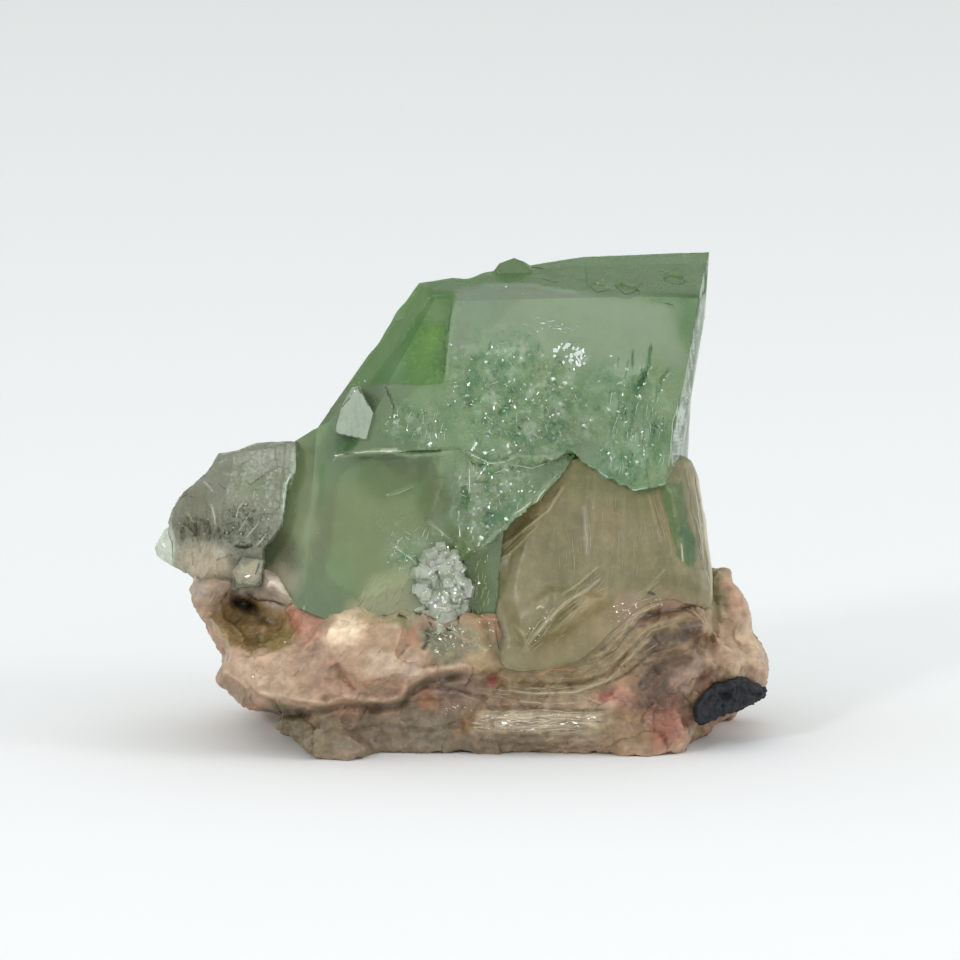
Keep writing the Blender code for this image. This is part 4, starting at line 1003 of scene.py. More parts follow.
greenCrystal = {
    "depth": 7,                      # of the remesh, which keeps the crystal edges sharp
    "base": (118, 136, 106),
    "gain": (1.72, 1.78, 1.6),
    "deepPatch": (0.52, 0.76, 0.62),
    "milkyPatch": (156, 172, 154),
    "topStep": [(8.0, 45.2), (24.2, 44.2), (24.6, 49.0), (6.0, 47.6)],
    "flatTop": [(-3.6, 45.0), (-0.2, 45.1), (6.7, 45.4), (12.4, 44.6), (18.0, 44.1), (24.4, 43.8), (25.0, 49.4),
        (-3.0, 49.4)],
    "dullRamp": ([(-2.3, 26.0), (-2.3, 23.0), (-2.0, 20.0)], 2.2),
    "stepColour": (112, 134, 98),
    # the flat top is painted darker, darkest towards its right corner: painted shade
    "topPaintedShade": (108, 134, 92),
    "cornerPaintedShade": (48, 92, 36),
    "side": [(22.5, 32.4), (23.3, 32.0), (24.4, 26.0), (22.3, 26.0)],
    "sideColour": (52, 84, 30),
    "mounds": [
        ([(8.6, 39.9), (12.4, 39.6), (12.5, 38.0), (11.2, 36.5), (9.0, 37.8)], -0.25, 0.3),
        (((5.6, 32.9), (0.8, 1.2), -40), 0.25, 0.3),
    ],
    "strokes": [
        # ridge over the lower crystal with its painted highlight and glint, torn lower margin of the big one,
        # creases and streaks
        ([(-13.0, 27.7), (-12.5, 28.1), (-9.8, 28.45), (-7.2, 28.6), (-5.0, 28.25), (-0.4, 28.6)], 0.4, 0.25,
         (150, 164, 132), 0.9),
        ([(-8.2, 28.65), (-6.4, 28.7)], 0.2, 0.1, (214, 222, 200), 0.95),
        ([(-0.4, 28.7), (0.9, 28.3), (2.6, 27.3), (4.1, 27.4), (5.5, 28.2), (8.9, 27.9), (10.7, 28.7)], 0.35, 0.3,
         (160, 174, 150), 0.8),
        ([(12.6, 27.4), (14.6, 25.9), (17.2, 24.7), (21.3, 25.6)], 0.4, 0.2, (140, 164, 136), 0.8),
        ([(10.2, 27.0), (7.8, 24.4), (6.6, 23.3), (5.4, 22.3), (3.0, 20.0), (1.0, 18.0)], 0.35, 0.25,
         (158, 170, 142), 0.8),
        ([(0.7, 26.9), (0.75, 24.3)], 0.18, 0.12, (200, 208, 182), 0.95),
        ([(-7.8, 35.2), (-7.2, 34.0), (-6.6, 32.5)], 0.25, -0.2, (84, 108, 72), 0.85),
        ([(-0.7, 44.2), (-1.0, 41.7), (-1.4, 38.0), (-1.5, 35.6)], 0.3, 0.1, (146, 164, 142), 0.6),
        ([(18.8, 43.6), (20.4, 43.4), (21.4, 42.8)], 0.25, -0.05, (96, 124, 88), 0.8),
        ([(7.0, 46.9), (8.4, 46.2), (9.6, 45.8)], 0.18, 0.05, (104, 128, 92), 0.7),
        ([(-0.2, 45.3), (4.0, 45.4), (6.7, 45.3), (12.4, 44.3)], 0.4, 0.05, (150, 166, 150), 0.6),
        ([(18.9, 39.4), (18.6, 37.0), (17.6, 34.6)], 0.25, -0.2, (78, 112, 82), 0.9),
        ([(18.4, 36.6), (17.6, 35.2), (17.0, 34.2)], 0.55, -0.25, (76, 110, 82), 0.9),
        ([(17.1, 38.8), (17.0, 36.8)], 0.14, -0.1, (88, 116, 84), 0.8),
        ([(20.8, 36.9), (19.9, 35.8), (19.6, 34.2)], 0.3, -0.2, (84, 114, 78), 0.9),
        ([(16.5, 33.4), (16.1, 31.6)], 0.4, -0.15, (88, 120, 84), 0.9),
        ([(17.3, 33.4), (17.0, 31.4), (16.7, 30.4)], 0.4, -0.2, (82, 112, 80), 0.9),
        ([(19.5, 32.0), (19.1, 30.6), (18.8, 28.8)], 0.4, -0.2, (84, 114, 84), 0.9),
        ([(17.2, 28.6), (16.6, 27.0), (16.2, 25.8)], 0.2, -0.15, (98, 128, 98), 0.7),
        ([(14.8, 26.8), (15.2, 28.0), (15.0, 29.4)], 0.3, 0.15, (156, 176, 156), 0.6),
        # painted highlight on the ragged lobe's edge
        ([(6.8, 22.6), (7.6, 23.9), (8.4, 24.8)], 0.2, 0.1, (206, 214, 192), 0.8),
        ([(4.6, 33.4), (3.4, 31.6), (3.6, 29.6)], 0.35, -0.2, (100, 126, 96), 0.7),
        ([(7.6, 34.4), (8.2, 33.2), (8.3, 32.0)], 0.3, -0.2, (104, 126, 92), 0.7),
        ([(9.0, 31.6), (9.8, 30.2), (9.2, 29.2), (7.6, 28.9)], 0.3, 0.2, (150, 166, 138), 0.6),
        ([(-14.0, 27.4), (-14.0, 25.0), (-14.2, 22.8)], 0.5, 0.0, (94, 124, 82), 0.7),
        ([(-3.8, 27.0), (-4.0, 25.0), (-4.3, 24.0)], 0.35, 0.0, (94, 122, 78), 0.7),
        ([(-4.8, 25.2), (-6.4, 24.6), (-7.6, 24.0)], 0.35, 0.08, (126, 142, 104), 0.7),
        ([(-2.2, 28.0), (-2.0, 25.6), (-3.0, 22.4)], 0.16, 0.08, (134, 146, 110), 0.7),
        ([(-6.7, 19.1), (-5.4, 18.0), (-4.1, 17.0)], 0.2, 0.15, (172, 182, 158), 0.8),
        ([(-3.4, 21.8), (-2.0, 20.4), (-0.8, 19.4)], 0.22, 0.12, (150, 162, 134), 0.7),
        ([(-0.6, 20.2), (0.8, 19.2), (1.4, 18.2)], 0.3, 0.15, (140, 150, 116), 0.6),
        # painted highlight along the edge where the pale crystal meets the green one
        ([(-16.6, 28.9), (-16.8, 26.4), (-17.6, 24.4)], 0.25, 0.1, (158, 172, 158), 0.6),
    ],
    "zones": [
        # a frosted plate: the frost is real, its pale grey colour is a painted sheen
        ("frostPlate", [(-0.2, 45.0), (6.7, 45.3), (12.4, 44.4), (18.0, 43.9), (21.9, 42.6), (22.2, 37.0),
            (13.0, 37.2), (5.0, 38.6),
                        (-1.6, 38.2)], 0.8, (138, 149, 130), 0.9),
        ("plateTeal", ((2.0, 43.0), (1.9, 2.4), 0), 1.0, (128, 150, 130), 0.7),
        ("plateLilac", ((16.0, 43.0), (4.0, 1.2), 0), 0.9, (140, 152, 138), 0.6),
        # painted shade on the top face, darkest at its right corner; topBright keeps its middle lighter
        ("topGreen", [(2.0, 49.6), (25.0, 49.6), (24.4, 45.0), (22.0, 44.3), (18.0, 44.7), (12.4, 45.0),
            (8.0, 45.8)], 0.6, (46, 94, 18), 0.95),
        ("topBright", ((16.0, 46.4), (2.6, 1.0), 0), 0.9, (108, 134, 92), 0.6),
        ("rightDark", ((22.6, 42.4), (1.1, 3.0), 8), 1.2, (82, 116, 76), 0.8),
        ("topRight", [(20.8, 44.4), (24.6, 44.4), (25.0, 49.4), (21.8, 49.4)], 0.5, (24, 74, 8), 0.95),
        ("bumpOlive", ((4.8, 47.0), (2.2, 0.9), 10), 0.5, (104, 122, 84), 0.8),
        ("vividWindow", [(-4.4, 45.0), (-0.6, 44.4), (-1.2, 41.7), (-1.85, 35.3), (-9.6, 35.3), (-11.6, 34.8)], 0.2,
         (84, 126, 60), 0.97),
        ("windowTeal", ((-7.8, 38.0), (1.0, 3.4), -34), 0.8, (92, 134, 84), 0.7),
        ("windowPale", ((-6.6, 36.6), (0.9, 1.6), -20), 0.7, (116, 146, 112), 0.6),
        ("windowDark", ((-5.4, 42.2), (0.6, 2.2), -40), 0.5, (76, 112, 68), 0.8),
        ("windowBevel", [(-4.0, 46.0), (-3.2, 43.6), (-5.6, 40.6), (-9.4, 35.2), (-12.4, 34.8), (-8.0, 42.0)], 0.3,
         (116, 146, 98), 0.9),
        ("windowLight", ((-2.4, 42.6), (1.2, 1.0), 0), 0.6, (118, 140, 100), 0.7),
        ("windowCore", [(-4.9, 41.0), (-1.4, 41.4), (-1.85, 35.3), (-4.6, 35.3), (-5.4, 38.0)], 0.5, (94, 134, 66),
         0.85),
        ("coreYellow", ((-3.0, 39.6), (0.9, 1.5), -10), 0.7, (106, 144, 70), 0.8),
        ("coreDeep", ((-2.4, 37.0), (0.6, 1.6), 0), 0.5, (86, 128, 58), 0.8),
        ("leftOlive", ((-8.0, 33.6), (1.2, 1.6), 0), 0.9, (122, 138, 106), 0.7),
        ("leftMint", ((-7.4, 30.8), (2.4, 1.8), 0), 1.0, (118, 142, 106), 0.7),
        ("darkCorner", [(-12.6, 29.7), (-9.8, 29.6), (-11.4, 28.6), (-12.4, 28.0)], 0.2, (82, 118, 76), 0.95),
        ("cloudTeal", ((4.0, 37.4), (1.6, 2.2), 20), 0.8, (108, 136, 108), 0.7),
        ("cloudWarm", ((8.4, 35.2), (2.8, 1.6), 10), 0.9, (128, 140, 108), 0.7),
        ("cloudRight", ((14.4, 35.6), (2.2, 2.0), 0), 0.9, (114, 140, 112), 0.7),
        ("rightMid", ((19.0, 35.0), (1.6, 2.6), 0), 0.8, (102, 126, 90), 0.7),
        ("rightOlive", ((20.2, 34.6), (1.2, 3.4), 10), 0.7, (126, 140, 108), 0.7),
        ("mintLobe", ((18.0, 27.0), (3.4, 2.2), -20), 0.8, (114, 142, 108), 0.85),
        ("lobeOlive", ((19.6, 26.2), (1.8, 0.9), 20), 0.5, (128, 142, 108), 0.8),
        ("lobePale", ((14.0, 28.0), (1.6, 1.8), 0), 0.7, (132, 154, 128), 0.7),
        ("lowerBroad", ((-9.6, 20.0), (6.4, 6.0), 0), 2.0, (124, 130, 97), 0.9),
        ("lowerFoot", ((-13.4, 15.6), (2.4, 2.6), 10), 1.0, (120, 138, 104), 0.85),
        ("lowerLeft", ((-16.6, 24.0), (2.0, 6.4), 0), 0.8, (156, 164, 132), 0.9),
        ("leftCloud", ((-15.3, 23.6), (0.8, 1.6), 0), 0.6, (138, 148, 124), 0.7),
        # painted shade under the ridge's overhang
        ("oliveShade", [(-10.5, 28.0), (-2.9, 28.0), (-3.8, 25.3), (-7.2, 23.7), (-9.6, 24.1)], 0.8, (98, 112, 74),
         0.9),
        ("darkSmudge", ((-17.9, 18.4), (1.5, 2.2), 0), 0.8, (112, 112, 90), 0.9),
        ("peachFoot", ((-17.9, 15.4), (1.8, 1.8), 0), 0.8, (186, 176, 156), 0.9),
        ("frostyRight", ((-4.8, 18.0), (2.8, 2.0), -30), 0.9, (138, 150, 124), 0.8),
        ("lowerRight", ((-3.0, 24.0), (1.6, 2.6), 0), 0.8, (94, 106, 62), 0.85),
        ("raggedOlive", ((3.4, 24.4), (4.0, 3.6), -40), 1.0, (132, 146, 116), 0.85),
        ("raggedPale", ((1.8, 26.2), (2.4, 1.2), 0), 0.7, (148, 158, 132), 0.7),
        ("raggedMint", ((4.4, 22.6), (1.6, 1.2), 40), 0.6, (132, 152, 126), 0.8),
        ("raggedDark", ((-0.6, 19.6), (1.6, 2.4), 20), 0.9, (100, 116, 72), 0.8),
        ("throatOlive", ((1.8, 16.0), (1.0, 3.2), 0), 0.7, (100, 112, 66), 0.95),
        ("fringePale", [(-11.4, 12.0), (-10.8, 14.2), (-8.2, 16.2), (-5.0, 17.0), (-4.0, 12.0)], 0.9,
         (170, 168, 138), 0.9),
        ("greenSliver", [(22.6, 31.4), (23.0, 31.0), (23.3, 27.0), (22.3, 27.2)], 0.15, (72, 106, 48), 0.95),
    ],
    "pulls": [((0.6, 46.2), (0.0, -0.35), 1.8), ((-8.6, 39.6), (0.12, -0.1), 1.8),
        ((-6.6, 42.6), (-0.15, 0.1), 1.6),
              ([(-10.8, 12.8), (-8.0, 13.4), (-5.0, 13.9), (-3.6, 14.2)], (0.0, -1.0), 3.0)],
    "rearPulls": [([(24.2, 42.0), (24.2, 38.0), (24.0, 34.0), (23.8, 31.0), (24.2, 28.5), (24.4, 26.0)],
        (-0.9, 0.0), 7.0)],
    "torn": [
        [(-0.4, 28.7), (2.6, 27.2), (4.1, 27.3), (8.9, 27.9), (10.7, 28.7), (12.6, 27.4), (14.6, 25.9),
         (17.2, 24.6), (21.3, 25.6)],
        [(10.8, 27.8), (7.8, 24.4), (5.4, 22.3), (3.0, 20.0), (1.0, 18.0)],
    ],
    "joints": [[(-1.1, 28.3, -6.6), (-1.1, 26.0, -6.6), (-1.1, 24.0, -6.9), (-1.1, 22.0, -7.6),
        (-1.1, 20.0, -8.3)]],
    "broken": [((5.6, 34.0), (7.4, 6.0), -20, 1.0), ((3.6, 24.6), (4.6, 4.0), 40, 1.0),
        ((17.0, 31.6), (4.4, 6.6), 10, 0.7),
               ((-4.4, 31.2), (3.2, 2.4), 0, 0.6), ((-4.6, 18.4), (3.4, 2.4), -20, 0.6)],
    "look": {
        "transmission": 0.62, "grainSize": 300.0, "contrast": 0.12, "clear": 0.05, "frosted": 0.6,
        "mottleSize": 620.0, "deep": (0.56, 0.78, 0.62), "milky": (0.62, 0.72, 0.6), "glitterSize": 2600.0,
        "glitter": 0.75,
        "bump": 0.12, "bumpDepth": 0.2, "absorbColour": (0.5, 0.62, 0.42), "absorbDensity": 95.0,
    },
}

def brokenShare(points, zones):
    spots = spotsOf(points) + noiseAt(points, 2.5, 21, 3)[:, None] * 1.6
    return np.max([blob(spots, middle, half, turn) * strength for middle, half, turn, strength in zones], axis=0)


def makeGreen():
    look = greenCrystal
    piece = sharpCopy("green_apophyllite", "greenCrystal", look["depth"])
    points, normals = shapeOf(piece)
    front = (frontness(normals) > 0.3) & (points[:, 1] < 0.0)
    drawn = np.max([pathDistance(spotsOf(points), line[0])[0] < line[1] * 2.0 for line in look["strokes"]], axis=0)
    refined(piece, front & ((brokenShare(points, look["broken"]) > 0.25) | drawn))
    points, normals = shapeOf(piece)
    spots = spotsOf(points)
    facing = frontness(normals)
    broken = brokenShare(points, look["broken"])
    knobs = 0.35 - np.abs(noiseAt(points, 1.8, 27, 2))
    chipped = chips(spots, 2.1, 0.1, 3) + chips(spots, 0.9, 0.08, 4)
    out = broken * (chipped + 0.2 * knobs) + raised(spots, look)
    upper = inside(spots, look["flatTop"], 0.3) * softStep(0.5, 0.9, normals[:, 2])
    out = out * facing + 0.02 * noiseAt(points, 4.0, 22, 2) + 0.04 * upper * noiseAt(points, 1.1, 30, 2)
    points = points + normals * out[:, None]
    for path in look["torn"]:
        points = frayed(points, path, 0.9, 0.45, 1.1, 28)
    points = levelled(points, facing, look["joints"], 2.2)
    rear = softStep(-3.0, 2.0, points[:, 1])[:, None]
    points = points * (1.0 - rear) + pulled(points, look["rearPulls"]) * rear
    moveTo(piece, pulled(points, look["pulls"]))
    spots = spotsOf(points)
    wobble = wobbleOf(points, 23, 0.8, 3.0, 3.0)
    near = softStep(7.0, 2.0, points[:, 1])
    base = baseColours(look, 1.0 + 0.12 * noiseAt(points, 5.0, 25, 3))
    colours = tinted(base, spots, wobble, near, look, look["strokes"])
    # painted shade on the flat top, deepening towards the right corner
    corner = softStep(17.0, 23.5, spots[:, 0])[:, None]
    topPaintedShade = linear(*look["topPaintedShade"]) * (1.0 - corner) + linear(*look["cornerPaintedShade"]) * corner
    colours = colours * (1.0 - upper[:, None]) + topPaintedShade * look["gain"] * upper[:, None]
    frost = 0.25 + 0.45 * inside(spots, zoneShape(look, "frostPlate"), 1.0) * facing + 0.25 * noiseAt(points, 2.0,
        26, 3)
    frost = frost - 0.3 * inside(spots, zoneShape(look, "vividWindow"), 0.4) * facing
    for outline in (look["flatTop"], zoneShape(look, "windowBevel")):
        frost = frost + inside(spots, outline, 0.3) * (1.0 - facing)
    frost = frost + 0.6 * stroke(spots, *look["dullRamp"])
    step = inside(spots, look["topStep"], 0.3) * softStep(0.3, 0.7, facing)
    colours = laidOver(colours, look, look["stepColour"], step)
    colours = laidOver(colours, look, look["sideColour"], inside(spots, look["side"], 0.3))
    cells = noiseAt(spots[:, [0, 1, 1]] * (1.0, 1.0, 0.0) + wobble[:, [0, 1, 1]] * 0.8, 1.9, 29, 4)
    deep = (softStep(0.08, 0.42, cells) * broken * facing)[:, None]
    milky = softStep(-0.1, -0.45, cells) * broken * facing
    colours = colours * (1.0 - deep) + colours * np.array(look["deepPatch"]) * deep
    colours = laidOver(colours, look, look["milkyPatch"], 0.75 * milky)
    paint(piece, "tint", colours)
    paint(piece, "frost", frost)
    paint(piece, "cloud", 0.06 + broken * facing)
    material = crystalMaterial("greenApophyllite", look["look"])
    return finished(piece, material, "green_apophyllite", sharp=25.0)


green = makeGreen()
print("green crystal made")


# The pale crystal at the left end

paleCrystal = {
    "base": (140, 140, 124),
    "gain": (1.26, 1.3, 1.2),
    "depth": 7,
    "rough": ((-21.8, 20.9), (2.6, 2.4), 10),
    "fibrous": ((-26.0, 20.0), (4.0, 4.0)),
    "mounds": [
        ([(-17.6, 29.8), (-16.4, 29.8), (-16.8, 25.6), (-17.8, 20.8), (-18.4, 21.2), (-17.9, 25.2)], 0.2, 0.2),
    ],
    "strokes": [
        ([(-25.0, 23.4), (-24.8, 22.2), (-24.6, 21.0)], 0.2, 0.15, (172, 168, 148), 0.9),
        ([(-25.9, 25.7), (-25.2, 25.0), (-24.8, 24.4)], 0.2, 0.15, (164, 166, 152), 0.8),
        ([(-27.6, 22.6), (-26.9, 21.6), (-26.6, 20.8)], 0.16, 0.12, (160, 154, 132), 0.8),
        ([(-29.0, 22.6), (-29.2, 21.0), (-29.0, 19.8)], 0.2, 0.15, (168, 164, 146), 0.8),
        ([(-27.0, 19.6), (-26.9, 18.0), (-26.6, 16.8)], 0.2, 0.1, (178, 160, 138), 0.8),
        ([(-26.2, 19.8), (-26.0, 18.4)], 0.16, 0.1, (176, 160, 138), 0.8),
        ([(-25.2, 19.6), (-25.0, 18.2)], 0.16, 0.1, (172, 158, 138), 0.8),
        ([(-24.0, 20.2), (-23.6, 19.0), (-23.2, 18.0)], 0.2, 0.12, (170, 156, 136), 0.8),
        ([(-26.8, 21.4), (-26.6, 20.0)], 0.4, -0.2, (92, 88, 66), 0.85),
        ([(-25.6, 21.8), (-25.3, 20.2)], 0.35, -0.2, (90, 88, 66), 0.85),
        ([(-24.6, 21.0), (-24.2, 19.8)], 0.35, -0.2, (88, 86, 66), 0.85),
        ([(-28.0, 21.0), (-27.8, 19.6)], 0.4, -0.2, (98, 94, 74), 0.8),
        ([(-22.8, 19.1), (-21.6, 19.0), (-20.8, 19.2)], 0.25, -0.3, (38, 38, 30), 0.95),
        ([(-21.0, 22.6), (-21.8, 21.4), (-22.4, 20.4)], 0.14, 0.12, (176, 176, 160), 0.8),
        ([(-20.2, 21.6), (-21.0, 20.6), (-21.6, 19.8)], 0.14, 0.12, (172, 172, 156), 0.8),
        ([(-21.8, 23.6), (-22.4, 22.8), (-22.6, 21.8)], 0.16, 0.12, (186, 184, 164), 0.8),
        ([(-20.8, 23.8), (-20.6, 23.0)], 0.16, 0.12, (180, 178, 160), 0.8),
        ([(-19.6, 20.4), (-20.2, 19.6), (-20.6, 19.0)], 0.18, 0.12, (196, 196, 176), 0.8),
        # painted highlight along the edge against the green crystal
        ([(-16.9, 29.3), (-17.0, 26.6), (-17.8, 25.2), (-18.1, 21.0)], 0.22, 0.15, (176, 190, 176), 0.9),
        ([(-18.0, 22.4), (-19.4, 22.8), (-20.4, 23.4)], 0.2, 0.12, (164, 172, 152), 0.7),
        ([(-24.4, 27.4), (-23.4, 27.8)], 0.16, 0.08, (170, 178, 164), 0.8),
        ([(-24.0, 26.4), (-23.0, 26.2)], 0.2, 0.08, (160, 166, 148), 0.7),
    ],
    "zones": [
        ("paleTop", ((-20.6, 27.0), (3.6, 2.4), 0), 1.4, (128, 134, 110), 0.85),
        ("topLilac", ((-19.4, 27.8), (1.8, 1.2), 0), 0.9, (158, 158, 150), 0.7),
        ("greenHint", ((-20.8, 25.0), (1.8, 1.0), 0), 0.9, (132, 142, 116), 0.7),
        ("leftFace", ((-26.6, 23.0), (2.4, 2.0), 40), 1.0, (122, 120, 98), 0.85),
        ("darkStreaks", ((-26.0, 20.6), (2.6, 1.0), -8), 0.8, (104, 102, 80), 0.85),
        ("darkRough", ((-21.8, 20.9), (2.0, 1.8), 10), 0.9, (124, 126, 108), 0.9),
        ("roughTop", ((-21.4, 23.2), (1.8, 0.9), 0), 0.7, (138, 136, 116), 0.7),
        ("peachFoot", ((-25.4, 17.4), (2.8, 1.6), -14), 0.9, (204, 186, 164), 0.9),
        ("footGrey", ((-22.4, 18.0), (1.4, 0.9), 0), 0.6, (128, 126, 110), 0.8),
        ("smallFacet", [(-22.9, 16.4), (-20.4, 17.8), (-20.6, 15.8), (-21.4, 15.2), (-22.6, 15.8)], 0.2,
         (186, 174, 152), 0.95),
        ("rightGreen", ((-17.4, 25.0), (0.5, 1.0), 0), 0.4, (112, 132, 94), 0.8),
        # the tip's pale grey, painted near white for its highlights
        ("tipGrey", [(-31.0, 19.6), (-29.2, 21.4), (-28.7, 19.4), (-28.9, 17.0), (-30.4, 17.8)], 0.3,
         (222, 228, 218), 0.95),
    ],
    "look": {
        "transmission": 0.42, "grainSize": 700.0, "contrast": 0.22, "clear": 0.1, "frosted": 0.55,
        "mottleSize": 900.0, "deep": (0.55, 0.56, 0.48), "milky": (0.6, 0.6, 0.52), "glitterSize": 3600.0,
        "glitter": 0.7,
        "bump": 0.4, "bumpDepth": 0.2, "absorbColour": (0.72, 0.74, 0.66), "absorbDensity": 60.0,
    },
}

def makePale():
    look = paleCrystal
    piece = sharpCopy("pale_apophyllite", "paleCrystal", look["depth"])
    moveTo(piece, grownOn(vectorsOf(piece), ["green_apophyllite"], 0.9, 0.05))
    points, normals = shapeOf(piece)
    spots = spotsOf(points)
    facing = frontness(normals)
    rough = blob(spots, *look["rough"])
    out = 0.05 * noiseAt(points, 1.6, 31, 3, (0.6, 1.0, 2.0)) + facets(points, 2.2, 0.07, 6)
    drawn = raised(spots, look) + rough * (facets(points, 0.7, 0.3, 7) + 0.2 * noiseAt(points, 0.9, 32, 4))
    points = points + normals * (out + drawn * facing)[:, None]
    moveTo(piece, points)
    wobble = wobbleOf(points, 33, 0.7, 1.5, 1.5)
    near = softStep(4.0, 0.0, points[:, 1])
    base = baseColours(look, 1.0 + 0.15 * noiseAt(points, 2.0, 35, 3))
    colours = tinted(base, spots, wobble, near, look, look["strokes"])
    fibres = 1.0 + 0.25 * noiseAt(points, 0.7, 37, 3, (0.5, 1.0, 3.0)) * blob(spots, *look["fibrous"])
    paint(piece, "tint", colours * fibres[:, None])
    paint(piece, "frost", 0.35 + 0.4 * rough + 0.3 * noiseAt(points, 1.2, 36, 3))
    paint(piece, "cloud", 0.3 + rough * facing)
    material = crystalMaterial("paleApophyllite", look["look"])
    return finished(piece, material, "pale_apophyllite", sharp=30.0)


pale = makePale()
print("pale crystal made")


# The clear crust: small block crystals scattered over the cluster's solid

clearCrust = {
    "base": (192, 200, 178),
    "gain": 1.7,
    "cornerReach": 1.5,
    "crust": {"Spacing": 0.46, "Density": 8.0, "Smallest": 0.28, "Largest": 0.62, "Seed": 4},
    "look": {
        "transmission": 0.6, "grainSize": 900.0, "contrast": 0.1, "clear": 0.02, "frosted": 0.2,
        "mottleSize": 1500.0, "deep": (0.6, 0.7, 0.6), "milky": (0.8, 0.86, 0.78), "glitterSize": 5000.0,
        "glitter": 0.3,
        "bump": 0.1, "bumpDepth": 0.05, "absorbColour": (0.8, 0.9, 0.76), "absorbDensity": 30.0,
    },
}

def blockCrystal(name, reach):
    # a cube with a half width of one millimetre; reach is how far along its height the corners are cut
    bm = bmesh.new()
    bmesh.ops.create_cube(bm, size=2.0)
    for across, along, end in itertools.product((1.0, -1.0), repeat=3):
        rim = bmesh.ops.bisect_plane(
            bm, geom=bm.verts[:] + bm.edges[:] + bm.faces[:], clear_outer=True,
            plane_co=Vector((across, 0.0, end * reach)), plane_no=Vector((across, along, end * 1.1)).normalized(),
        )["geom_cut"]
        edges = [item for item in rim if isinstance(item, bmesh.types.BMEdge)]
        if edges:
            bmesh.ops.edgenet_fill(bm, edges=edges)
    bmesh.ops.recalc_face_normals(bm, faces=bm.faces)
    return newPiece(name, bm)


def scatterTree(name, shape, material):
    # scatters turned copies of a shape over a surface
    tree = bpy.data.node_groups.new(name, "GeometryNodeTree")
    tree.interface.new_socket(name="Geometry", in_out="INPUT", socket_type="NodeSocketGeometry")
    sockets = {}
    for title, kind in (("Spacing", "Float"), ("Density", "Float"), ("Smallest", "Float"), ("Largest", "Float"),
                        ("Seed", "Int")):
        socket = tree.interface.new_socket(name=title, in_out="INPUT", socket_type="NodeSocket" + kind)
        sockets[title] = socket.identifier
    tree.interface.new_socket(name="Geometry", in_out="OUTPUT", socket_type="NodeSocketGeometry")
    given = tree.nodes.new("NodeGroupInput").outputs
    made = tree.nodes.new("NodeGroupOutput")
    spread = addNode(tree, "GeometryNodeDistributePointsOnFaces", distribute_method="POISSON")
    for title, source in (("Mesh", "Geometry"), ("Distance Min", "Spacing"), ("Density Max", "Density"),
        ("Seed", "Seed")):
        tree.links.new(given[source], spread.inputs[title])
    model = addNode(tree, "GeometryNodeObjectInfo", {"Object": shape}, transform_space="ORIGINAL")
    fullTurn = {"Max": (6.28, 6.28, 6.28), "Seed": given["Seed"]}
    turn = addNode(tree, "FunctionNodeRandomValue", fullTurn, data_type="FLOAT_VECTOR")
    sizes = {2: given["Smallest"], 3: given["Largest"], "Seed": given["Seed"]}
    size = addNode(tree, "FunctionNodeRandomValue", sizes, data_type="FLOAT")
    placed = addNode(tree, "GeometryNodeInstanceOnPoints", {
        "Points": spread.outputs["Points"], "Instance": model.outputs["Geometry"],
        "Rotation": turn.outputs["Value"], "Scale": size.outputs[1],
    })
    real = addNode(tree, "GeometryNodeRealizeInstances", {"Geometry": placed.outputs["Instances"]})
    dressed = addNode(tree, "GeometryNodeSetMaterial", {"Geometry": real.outputs["Geometry"], "Material": material})
    tree.links.new(dressed.outputs["Geometry"], made.inputs["Geometry"])
    return tree, sockets


def makeCrust():
    look = clearCrust
    material = crystalMaterial("clearApophyllite", look["look"])
    shape = blockCrystal("crustShape", look["cornerReach"])
    tree, sockets = scatterTree("crustScatter", shape, material)
    piece = cadCopy("clear_apophyllite_cluster", "clearCrust")
    points, normals = shapeOf(piece)
    moveTo(piece, points - normals * 0.4 + forward * 0.5)
    modifier = piece.modifiers.new("Scatter", "NODES")
    modifier.node_group = tree
    for title, value in look["crust"].items():
        modifier[sockets[title]] = value
    points = vectorsOf(settled(piece))
    paint(piece, "tint", baseColours(look, 1.0 + 0.7 * noiseAt(points, 0.9, 42, 2)))
    paint(piece, "frost", 0.05 + 0.3 * noiseAt(points, 1.0, 41, 2))
    paint(piece, "cloud", np.full(len(points), 0.5))
    finished(piece, material, "clear_apophyllite_cluster", sharp=20.0)
    bpy.data.objects.remove(shape)
    return piece


crust = makeCrust()
print("clear crust made")
